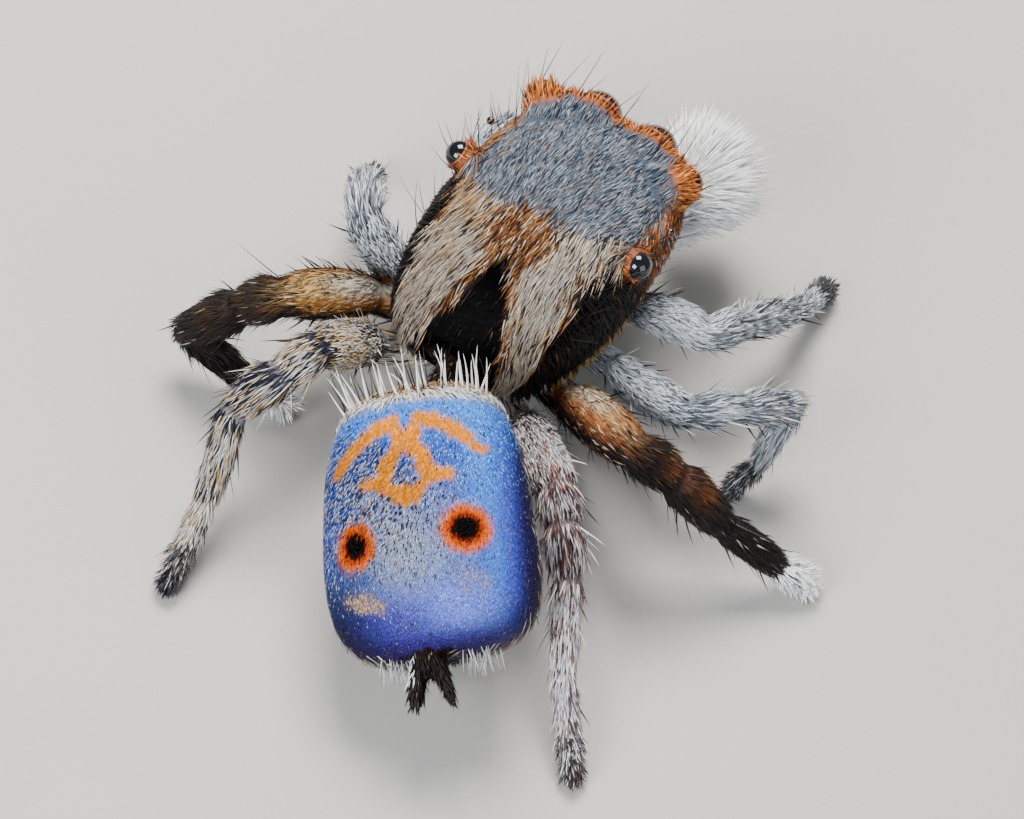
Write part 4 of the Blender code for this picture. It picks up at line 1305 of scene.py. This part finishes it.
def coat_rims(skin, mat):
    """Lay the orange hair round the eyes."""
    roots = head_roots(skin, "coat_head_rims", "rim")
    mirror = np.sign(roots.p[:, :1]) * np.array((1, 0, 0)) + np.array((0, 1, 1))
    spot = roots.p * mirror
    outward = np.zeros_like(spot)
    visor = np.zeros(len(roots))
    for name, centre, radius, gaze, _ in EYES:
        away = spot - centre
        gap = np.linalg.norm(away, axis=1) - radius
        aim = unit(away) * 0.5 + unit(np.array(gaze)) * 0.9
        outward += aim * np.exp(-gap / 0.05)[:, None]
        # Long hairs hang over the front eyes from above and stand round the tiny ones.
        if name.startswith("front"):
            visor += np.exp(-gap / 0.03) * soft(away[:, 2], radius * 0.35, 0.02)
        elif name == "rear_middle":
            visor += 0.8 * np.exp(-gap / 0.05)
    outward += np.array((0.1, 0.35, 0.1)) * 0.15
    visor = np.clip(visor, 0, 1)
    tones, shares = (ORANGE, BRIGHT_ORANGE, ORANGE_BROWN, (0.05, 0.02, 0.01)), (0.45, 0.2, 0.22, 0.13)
    shade = varied(mixed(tones, shares, len(roots)), 0.25)
    length = RNG.uniform(0.06, 0.11, len(roots)) * (1 + 0.9 * visor)
    combed(
        "coat_head_rims", roots, outward * mirror, shade, length, 0.38 - 0.16 * visor, mat,
    )


def coat_face(skin, mat):
    """Lay the orange face and the white and yellow hair of the underside."""
    roots = head_roots(skin, "coat_head_face", "face", "below")
    low = soft(0.95 - roots.p[:, 2], 0.0, 0.05)
    shares = columns(0.35 * (1 - low), 0.25 * (1 - low), 0.35 * low + 0.05, 0.35 * low, 0.25)
    shade = mixed((ORANGE_BROWN, ORANGE, WHITE, YELLOW, (0.05, 0.03, 0.02)), shares, len(roots))
    length = RNG.uniform(0.10, 0.15, len(roots))
    lie = filled((0.0, 0.1, -1.0), len(roots))
    combed("coat_head_face", roots, lie, varied(shade, 0.2), length, 0.30, mat)


# Abdomen scales: plain greys and browns, the bright flecks and the colours of the marks.
SCALE_GREY = (0.46, 0.45, 0.46)
SCALE_DARK = (0.014, 0.020, 0.042)
SCALE_BROWN = (0.24, 0.16, 0.10)
SCALE_STEEL = (0.36, 0.40, 0.50)
SCALE_SKY = (0.22, 0.55, 1.0)
SCALE_OCHRE = (0.50, 0.34, 0.17)
SCALE_AMBER = (0.70, 0.34, 0.06)


def coat_scales(skin, mat):
    """Lay the abdomen's scales."""
    rear, left, _ = ABDOMEN_AXES
    roots = scatter(skin, ("abdomen",), COATS["coat_abdomen_scales"].cell)
    a, _, h = abdomen_frame(roots.p)
    roots = roots.only((h > -0.20) & (a > -0.84))
    a, l, h = abdomen_frame(roots.p)
    count = len(roots)
    # The rough scales of the left side lie slantwise, the others straight back.
    coarse = soft(0.34 - a, 0.0, 0.15) * soft(l, -0.12, 0.12) * soft(a + 0.5 * l, -0.36, 0.06)
    rough = np.clip(0.22 + 0.78 * coarse + 0.40 * soft(0.1 - a, 0.0, 0.2), 0, 1)
    lie = filled(rear, count) + 0.7 * np.outer(coarse, left)
    orange, ring, outer, spot, ochre = abdomen_marks(roots.p)
    # The ground colour brings in the painted reflection, highlight and shade.
    shade = abdomen_ground(roots.p)
    shade = shade * np.exp(RNG.normal(0.0, 1.0, count) * (0.16 + 0.30 * rough))[:, None]
    kind = RNG.random(count)
    inner = (np.abs(l) < 0.55) & (a < 0.62)
    for start, share, where, tone in (
        (0.0, 0.24 * coarse, True, SCALE_GREY),
        (0.25, 0.30 * coarse, True, SCALE_DARK),
        (0.60, 0.12 * rough, True, SCALE_BROWN),
        (0.73, 0.12 * rough, inner, SCALE_STEEL),
        (0.86, 0.14 * rough, inner, NAVY),
    ):
        chosen = (kind > start) & (kind < start + share) & where
        shade = np.where(chosen[:, None], tone, shade)
    bright = soft(-l, 0.10, 0.08) * soft(-0.10 - a, 0.0, 0.10) * soft(0.66 + l, 0.0, 0.02)
    shade = np.where((RNG.random(count) < 0.20 * bright)[:, None], SCALE_SKY, shade)
    fleck = RNG.random(count) < 0.07
    for weight, tone in (
        (ochre * 0.8, SCALE_OCHRE), (orange, MARK_ORANGE), (ring, RING_RED), (outer, RING_EDGE),
        (spot, BLACK),
    ):
        chosen = RNG.random(count) < weight * soft(h, 0.12, 0.03)
        shade = np.where(chosen[:, None], tone, shade)
    shade = np.where((fleck & (orange > 0.5))[:, None], SCALE_AMBER, shade)
    length = RNG.uniform(0.026, 0.036, count) * (1 + 0.5 * coarse)
    combed(
        "coat_abdomen_scales", roots, lie, shade, length, 0.22 + 0.10 * rough, mat,
        rings=SCALE_RINGS,
    )


def coat_abdomen(skin, mat):
    """Lay the abdomen's front band, side and under hairs."""
    rear, _, up = ABDOMEN_AXES
    roots = scatter(skin, ("abdomen",), COATS["coat_abdomen_front"].cell)
    a, _, h = abdomen_frame(roots.p)
    front = soft(-a, 0.745 + 0.02 * noise(roots.p, 0.08, 9), 0.012) * soft(h, -0.25, 0.05)
    roots = roots.only(RNG.random(len(roots)) < front)
    edge = soft(-abdomen_frame(roots.p)[0], 0.88, 0.015)
    tones = ((0.70, 0.62, 0.50), (0.86, 0.84, 0.80), (0.55, 0.30, 0.10), CREAM_DARK)
    shares = columns(0.30, 0.52 * (1 - edge), 0.06 + 0.6 * edge, 0.10)
    shade = varied(mixed(tones, shares, len(roots)), 0.15)
    length = RNG.uniform(0.06, 0.10, len(roots))
    lie = filled(-rear * 0.6 + up, len(roots))
    combed("coat_abdomen_front", roots, lie, shade, length, 0.4, mat)

    roots = scatter(skin, ("abdomen", "waist"), COATS["coat_abdomen_under"].cell)
    a, _, h = abdomen_frame(roots.p)
    below = soft(-h, 0.10, 0.05) * soft(a, -0.86, 0.03)
    roots = roots.only(RNG.random(len(roots)) < below)
    tones, shares = (CREAM_GREY, WHITE, (0.20, 0.14, 0.11), (0.05, 0.04, 0.05)), (0.30, 0.06, 0.30, 0.34)
    shade = varied(mixed(tones, shares, len(roots)), 0.2)
    length = RNG.uniform(0.11, 0.18, len(roots))
    lie = filled(rear - 0.3 * up, len(roots))
    combed("coat_abdomen_under", roots, lie, shade, length, 0.13, mat)


def coat_legs(skin, mat):
    """Lay the coat of each leg, combed towards the foot."""
    for side, _ in SIDES:
        for pair in LEG_PAIRS:
            roots = scatter(skin, (f"leg{pair}_{side}",), COATS["coat_leg"].cell)
            roots = roots.only(roots.p[:, 2] > 0.03)
            joints = LEG_JOINTS[(side, pair)]
            if pair == 3:
                # The third thighs are nearly bare.
                bare = (roots.u < joints[1] - 0.01) & (RNG.random(len(roots)) > 0.36)
                roots = roots.only(~bare)
            shade = leg_colours(side, pair, roots)
            foot = soft(roots.u, joints[4], 0.02)
            length = RNG.uniform(0.12, 0.20, len(roots)) * (1 - 0.35 * foot)
            if pair == 1:
                length *= 0.75
            combed(
                f"coat_leg{pair}_{side}", roots, roots.lie, shade, length, 0.13 + 0.22 * foot, mat,
                coat="coat_leg",
            )


BRISTLE_BLACK = (0.012, 0.010, 0.010)


def bristle_piece(name, roots, aims, bends, lengths, radii, shade, places, mat):
    """Make stiff round bristles."""
    side = np.cross(aims, bends + np.array((1e-3, 2e-3, 3e-3)))
    return strands(
        name, roots, aims, bends, unit(side), lengths, radii, BRISTLE_RINGS, (shade, shade), places, mat,
        angles=ROUND_ANGLES,
    )


def head_bristles(skin, mat):
    """Set the long black bristles round the plate and the face."""
    roots = scatter(skin, ("head",), LONG_CELLS["head"])
    x, y, z = roots.p.T
    edge = (np.abs(x) > 0.55) & (y < 0.75) & (z > 1.25)
    edge |= (y < -0.90) & (z > 1.45)
    chance = np.where(edge, 0.45, 0.10 * (z > 1.5) * (y < 0.5))
    roots = roots.only(RNG.random(len(roots)) < chance)
    count = len(roots)
    ahead = filled((0.0, -0.75, 0.35), count)
    ahead[:, 1] += 0.5 * soft(roots.p[:, 1], 0.0, 0.3)
    aims = unit(roots.n * 0.70 + ahead + RNG.normal(0, 0.22, (count, 3)))
    bends = np.array((0.0, -0.16, 0.06)) + RNG.normal(0, 0.07, (count, 3))
    lengths = RNG.uniform(0.20, 0.48, count)
    height = roots.p[:, 2]
    top = height + lengths * (aims[:, 2] + bends[:, 2])
    lengths = np.where(top > HEAD_REACH, lengths * (HEAD_REACH - height) / (top - height), lengths)
    bristle_piece(
        "bristles_head", roots.p - roots.n * 0.02, aims, bends, lengths, RNG.uniform(0.0030, 0.0048, count),
        filled((0.006, 0.005, 0.005), count), bake_places(roots), mat,
    )


def cheek_fringe(skin, mat):
    """Set the yellow fringe along the carapace's lower edge and the white hairs below it."""
    roots = scatter(skin, ("head",), LONG_CELLS["fringe"])
    x, y, z = roots.p.T
    roots = roots.only((z > 0.66) & (z < 0.86) & (np.abs(x) > 0.45) & (y < 0.75))
    count = len(roots)
    aims = unit(roots.n * 0.55 + np.array((0.0, -0.15, -1.0)) + RNG.normal(0, 0.12, (count, 3)))
    bends = filled((0.0, 0.0, -0.15), count)
    high = soft(roots.p[:, 2], 0.78, 0.02)
    shares = columns(0.55 * high, 0.25 * high, 0.8 * (1 - high), 0.2)
    shade = varied(mixed((YELLOW, ORANGE_BROWN, WHITE, (0.03, 0.02, 0.015)), shares, count), 0.2)
    side = unit(np.cross(roots.n, aims))
    strands(
        "coat_head_fringe", roots.p - roots.n * 0.01, aims, bends, side, RNG.uniform(0.10, 0.17, count),
        0.0075, LONG_RINGS, (shade, shade), bake_places(roots), mat,
    )


def abdomen_bristles(skin, mat):
    """Set the white and black bristles of the front crest and the stray ones."""
    rear, left, up = ABDOMEN_AXES
    roots = scatter(skin, ("abdomen",), LONG_CELLS["crest"])
    a, _, h = abdomen_frame(roots.p)
    crest = (a < -0.82) & (h > 0.08) & (a > -0.96) & (RNG.random(len(roots)) < 0.68)
    stray = (a > -0.82) & (h > -0.3) & (RNG.random(len(roots)) < np.where(a < -0.4, 0.10, 0.02))
    roots = roots.only(crest | stray)
    a, l, _ = abdomen_frame(roots.p)
    count = len(roots)
    front = a < -0.82
    raised = up * 0.9 - rear * 0.75 + roots.n * 0.35 + np.outer(l, left) * 0.35
    raised = raised + RNG.normal(0, 0.16, (count, 3))
    laid = roots.n * 0.4 + rear * 0.9 + RNG.normal(0, 0.15, (count, 3))
    aims = unit(np.where(front[:, None], raised, laid))
    bends = np.where(front[:, None], -rear * 0.12 + RNG.normal(0, 0.10, (count, 3)), roots.n * -0.1)
    pale = front & (RNG.random(count) < 0.60)
    lengths = np.where(front, RNG.uniform(0.20, 0.36, count), RNG.uniform(0.10, 0.16, count))
    shade = np.where(pale[:, None], (0.80, 0.79, 0.74), BRISTLE_BLACK)
    bristle_piece(
        "bristles_abdomen", roots.p - roots.n * 0.02, aims, bends, lengths, np.where(pale, 0.0095, 0.0052),
        shade, bake_places(roots), mat,
    )


def rear_tufts(skin, mat):
    """Set the pale tufts at the abdomen's rear."""
    rear, _, up = ABDOMEN_AXES
    roots = scatter(skin, ("abdomen",), LONG_CELLS["tufts"])
    a, l, h = abdomen_frame(roots.p)
    chance = 0.75 * peak(np.abs(l - 0.05), 0.30, 0.08) + 0.01
    roots = roots.only((a > 0.74) & (h < 0.02) & (RNG.random(len(roots)) < chance))
    count = len(roots)
    aims = unit(rear * 0.9 + roots.n * 0.45 - up * 0.25 + RNG.normal(0, 0.24, (count, 3)))
    shade = varied(filled((0.56, 0.54, 0.53), count), 0.25)
    side = unit(np.cross(roots.n + 0.01, aims))
    strands(
        "coat_abdomen_tufts", roots.p - roots.n * 0.01, aims, filled(-up * 0.15, count), side,
        RNG.uniform(0.08, 0.19, count), 0.0052, LONG_RINGS, (shade, shade), bake_places(roots), mat,
    )


def leg_bristles(skin, mat):
    """Set the spines and long fine hairs of the legs."""
    for side, _ in SIDES:
        picked = scatter(skin, [f"leg{pair}_{side}" for pair in LEG_PAIRS], LONG_CELLS["legs"])
        picked = picked.only((picked.p[:, 2] > 0.12) & (picked.u > 0.16) & (RNG.random(len(picked)) < 0.5))
        count = len(picked)
        lie = tangent(picked.lie, picked.n)
        aims = unit(picked.n * 0.5 + lie * 0.85 + RNG.normal(0, 0.12, (count, 3)))
        thick = RNG.random(count) < 0.22
        lengths = np.where(thick, RNG.uniform(0.16, 0.26, count), RNG.uniform(0.14, 0.24, count))
        lengths = np.minimum(lengths, picked.p[:, 2] * 0.8)
        radii = np.where(thick, 0.0085, 0.0042)
        pale = (RNG.random(count) < 0.35) & (picked.part != PARTS[f"leg3_{side}"])
        shade = np.where(pale[:, None], (0.62, 0.60, 0.56), (0.014, 0.011, 0.010))
        bristle_piece(
            f"bristles_legs_{side}", picked.p - picked.n * 0.015, aims, lie * 0.16, lengths, radii, shade,
            bake_places(picked), mat,
        )


# The long fine bristle that stands out over the left third leg: its root and its run.
LONG_BRISTLE = ((1.17, 1.56, 1.20), (0.50, 0.03, 0.14))


def long_bristle(mat):
    """Set the one long fine bristle of the left third leg."""
    root, run = (np.array([row]) for row in LONG_BRISTLE)
    length = np.linalg.norm(run, axis=1)
    bristle_piece(
        "bristle_leg3_left", root, unit(run), np.array(((0.0, 0.02, 0.05),)), length, 0.0052,
        filled(BRISTLE_BLACK, 1), np.array(((0.5, 0.5),)), mat,
    )


def palp_brushes(skin, mat):
    """Set the white brushes of the palps."""
    for side, out in SIDES:
        roots = scatter(skin, (f"palp_{side}",), LONG_CELLS["palps"])
        roots = roots.only(roots.u > 0.18)
        count = len(roots)
        beyond = soft(roots.u, 0.45, 0.08)
        ahead = np.array((0.35 * out, -0.75, 0.12))
        aims = unit(roots.n * (0.9 * beyond + 0.35)[:, None] + ahead + RNG.normal(0, 0.15, (count, 3)))
        bends = ahead * 0.12 + np.array((0.0, 0.0, -0.06)) + RNG.normal(0, 0.04, (count, 3))
        lengths = PALP_REACH[side] * (0.14 + 0.30 * beyond) * RNG.uniform(0.45, 1.1, count)
        shade = varied(filled(WHITE, count), 0.06)
        side_way = unit(np.cross(roots.n, aims) + 1e-4)
        strands(
            f"brush_palp_{side}", roots.p - roots.n * 0.01, aims, bends, side_way, lengths, 0.0130,
            LONG_RINGS, (shade * 0.92, shade), bake_places(roots), mat,
        )


def coat_small_parts(skin, mat):
    """Lay short hair on the jaws, spinnerets, sternum and waist."""
    roots = scatter(skin, ("jaws", "spinnerets", "sternum", "waist"), COATS["coat_small_parts"].cell)
    dark = np.isin(roots.part, [PARTS["spinnerets"], PARTS["waist"]])
    shares = np.where(dark[:, None], (0.93, 0.05, 0.02), (0.35, 0.35, 0.30))
    shade = varied(mixed(((0.02, 0.016, 0.016), (0.20, 0.13, 0.08), CREAM_GREY), shares, len(roots)), 0.2)
    # One spinneret on the left carries white hair.
    a, l, h = abdomen_frame(roots.p)
    white = (roots.part == PARTS["spinnerets"]) & (l > 0.165) & (h > -0.12) & (a < 1.20)
    shade = np.where(white[:, None], (0.80, 0.84, 0.88), shade)
    length = RNG.uniform(0.07, 0.11, len(roots))
    combed("coat_small_parts", roots, roots.lie, shade, length, 0.35, mat)


# Foot tufts: hairs, spread from the foot, share of the length, half width, colour and slot.
WHITE_TUFT = (420, 0.9, 1.0, 0.008, WHITE, "white_hair")
DARK_TUFT = (260, 0.6, 0.8, 0.0065, (0.018, 0.016, 0.018), "pale_leg_coat")


def foot_pads(mat):
    """Set the dense tuft of hair at each foot."""
    for (side, pair), (path, radii, tangents) in LEG_CURVES.items():
        count, spread_out, share, radius, tone, slot = WHITE_TUFT if pair == 3 else DARK_TUFT
        pick = RNG.integers(len(path) - 20, len(path) - 4, count)
        turn = RNG.uniform(0, 2 * math.pi, count)
        heading = tangents[pick]
        across = unit(np.cross(heading, (0.3, 0.2, 1.0)))
        out = across * np.cos(turn)[:, None] + np.cross(heading, across) * np.sin(turn)[:, None]
        start = path[pick] + out * radii[pick][:, None] * 0.8
        aims = unit(out * spread_out + heading * 0.75)
        lengths = RNG.uniform(0.09, 0.15, count) * share
        reach = start[:, 2] + aims[:, 2] * lengths
        aims[:, 2] = np.where(reach < 0.008, (0.008 - start[:, 2]) / lengths, aims[:, 2])
        start[:, 2] = np.maximum(start[:, 2], 0.012)
        shade = varied(filled(tone, count), 0.15)
        places = np.column_stack((RNG.uniform(0.02, 0.98, count), RNG.uniform(0.02, 0.98, count)))
        strands(
            f"foot_tuft{pair}_{side}", start, aims, np.zeros((count, 3)), unit(np.cross(aims, out) + 1e-4),
            lengths, radius, LONG_RINGS, (shade, shade), places, mat,
        )


# Eyes

def lens_mesh(centre, radius, look, rows=26, sides=48):
    """Give a glossy lens, a little flattened behind and domed in front."""
    look = unit(np.array(look, float))
    side = unit(np.cross(look, (0.0, 0.0, 1.0)))
    up = np.cross(side, look)
    angles = round_angles(sides)
    points, faces = [np.array(centre) + look * radius], []
    for k in range(1, rows):
        turn = math.pi * k / rows
        depth = math.cos(turn) * (1.0 if turn < math.pi / 2 else 0.85)
        ring = np.outer(np.cos(angles), side) + np.outer(np.sin(angles), up)
        points.extend(np.array(centre) + look * depth * radius + ring * math.sin(turn) * radius)
    points.append(np.array(centre) - look * radius * 0.85)
    for s in range(sides):
        n = (s + 1) % sides
        faces.append((0, 1 + s, 1 + n))
        for k in range(rows - 2):
            a, b = 1 + k * sides, 1 + (k + 1) * sides
            faces += [(a + s, b + s, b + n), (a + s, b + n, a + n)]
        base = 1 + (rows - 2) * sides
        faces.append((base + s, len(points) - 1, base + n))
    return np.array(points), np.array(faces)


LENS_SHARE = 0.985


def make_eyes(lens, ring_skin):
    """Set the eight lenses, each in a raised ring of skin."""
    for name, centre, radius, gaze, _ in EYES:
        for side, out in SIDES:
            where = np.array(centre) * (out, 1, 1)
            look = unit(np.array(gaze) * (out, 1, 1))
            points, faces = lens_mesh(where, radius * LENS_SHARE, look)
            eye = make_piece(f"lens_{name}_{side}", points, faces, lens)
            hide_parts(f"eye_{name}_{side}")
            thickness = min(0.012, radius * 0.14)
            points, faces = ring_mesh(where + look * radius * 0.10, radius * LENS_SHARE, thickness, look)
            make_piece(f"rim_{name}_{side}", points, faces, ring_skin)


def ring_mesh(centre, radius, thickness, look, sides=56, round_sides=12):
    """Give a ring round the look direction."""
    side = unit(np.cross(look, (0.0, 0.0, 1.0)))
    up = np.cross(side, look)
    points, faces = [], []
    for k in range(sides):
        angle = 2 * math.pi * k / sides
        out = side * math.cos(angle) + up * math.sin(angle)
        for s in range(round_sides):
            turn = 2 * math.pi * s / round_sides
            swell = thickness * (1 + 0.10 * math.sin(5 * angle))
            points.append(centre + out * (radius + swell * math.cos(turn)) + look * swell * math.sin(turn))
    for k in range(sides):
        for s in range(round_sides):
            a, b = k * round_sides, ((k + 1) % sides) * round_sides
            n = (s + 1) % round_sides
            faces += [(a + s, b + s, b + n), (a + s, b + n, a + n)]
    return np.array(points), np.array(faces)


# Stage

FLOOR_RADIUS = 1.2
FLOOR_TONES = ((0.40, 0.385, 0.36), (0.45, 0.435, 0.41))
SKY = (0.80, 0.85, 0.92, 1.0)
SKY_STRENGTH = 0.30
# Lamps: name, place and size in millimetres, power and colour; all aim at one point.
LAMPS = (
    ("key", (12.0, -14.0, 34.0), 20.0, 0.038, (1.0, 0.97, 0.93)),
    ("fill", (-30.0, 12.0, 16.0), 26.0, 0.006, (0.85, 0.92, 1.0)),
    ("back", (6.0, 34.0, 20.0), 20.0, 0.026, (0.94, 0.97, 1.0)),
)
LAMP_AIM = (-0.3, 0.8, 0.8)


def linked(name, data):
    """Add an object to the scene."""
    obj = bpy.data.objects.new(name, data)
    bpy.context.scene.collection.objects.link(obj)
    return obj


def make_stage():
    """Set the floor, the lights and the camera."""
    bm = bmesh.new()
    bmesh.ops.create_circle(bm, cap_ends=True, radius=FLOOR_RADIUS, segments=96)
    mesh = bpy.data.meshes.new("floor")
    bm.to_mesh(mesh)
    bm.free()
    floor = linked("floor", mesh)
    mesh.materials.append(clouded_material("floor", 300.0, FLOOR_TONES, {"Roughness": 0.8}))

    world = bpy.data.worlds.new("studio")
    world.use_nodes = True
    background = world.node_tree.nodes["Background"]
    background.inputs["Color"].default_value = SKY
    background.inputs["Strength"].default_value = SKY_STRENGTH
    bpy.context.scene.world = world
    for name, place, size, power, tone in LAMPS:
        lamp = bpy.data.lights.new(name, "AREA")
        lamp.size = size * MM
        lamp.energy = power
        lamp.color = tone
        obj = linked(name, lamp)
        obj.location = placed(place)
        obj.rotation_mode = "QUATERNION"
        obj.rotation_quaternion = (placed(LAMP_AIM) - obj.location).to_track_quat("-Z", "Y")

    camera = bpy.data.cameras.new("camera")
    camera.sensor_width = SENSOR
    camera.lens = LENS
    camera.clip_start = 0.005
    camera.clip_end = 3.0
    obj = linked("camera", camera)
    turn = Matrix((VIEW_RIGHT, VIEW_UP, VIEW_BACK)).transposed().to_4x4()
    obj.matrix_world = Matrix.Translation(placed(VIEW_AIM + VIEW_BACK * VIEW_DISTANCE)) @ turn
    bpy.context.scene.camera = obj


def flesh_nodes():
    """Name the CAD nodes that the skin and coat stand for."""
    return [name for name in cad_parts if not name.startswith("eye_")]


def place_skin(skin, mat):
    """Colour the skin and put it in the frame."""
    mesh = skin.obj.data
    tint = paint_skin(skin)
    mesh.vertices.foreach_set("co", in_frame(skin.points))
    mesh.update()
    mesh.polygons.foreach_set("use_smooth", np.full(len(mesh.polygons), True))
    paint(mesh, tint)
    mesh.materials.clear()
    mesh.materials.append(mat)
    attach(skin.obj, BODY)
    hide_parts(*flesh_nodes())


def main():
    """Build every piece."""
    make_stage()
    skin = make_skin()
    cuticle = painted_material("cuticle", 0.38, 26000.0, 0.30, 0.01)
    add_bump(cuticle, 42000.0, 0.35, 0.000008)
    fur = painted_material("coat_hair", 0.48, 30000.0, 0.18, 0.14)
    scales = painted_material("coat_scales", 0.36, 30000.0, 0.20, 0.10)
    bristle = painted_material("bristle", 0.38, 20000.0, 0.12, 0.3)
    white = painted_material("white_hair", 0.50, 20000.0, 0.06, 0.3, sheen=0.15)
    for lay in (coat_plate, coat_flanks, coat_patch, coat_cheeks, coat_rims, coat_face, cheek_fringe):
        lay(skin, fur)
    coat_scales(skin, scales)
    for lay in (coat_abdomen, coat_legs, coat_small_parts):
        lay(skin, fur)
    for lay in (head_bristles, abdomen_bristles, rear_tufts, leg_bristles):
        lay(skin, bristle)
    long_bristle(bristle)
    palp_brushes(skin, white)
    foot_pads(white)
    make_eyes(eye_material(), ring_material())
    place_skin(skin, cuticle)


main()
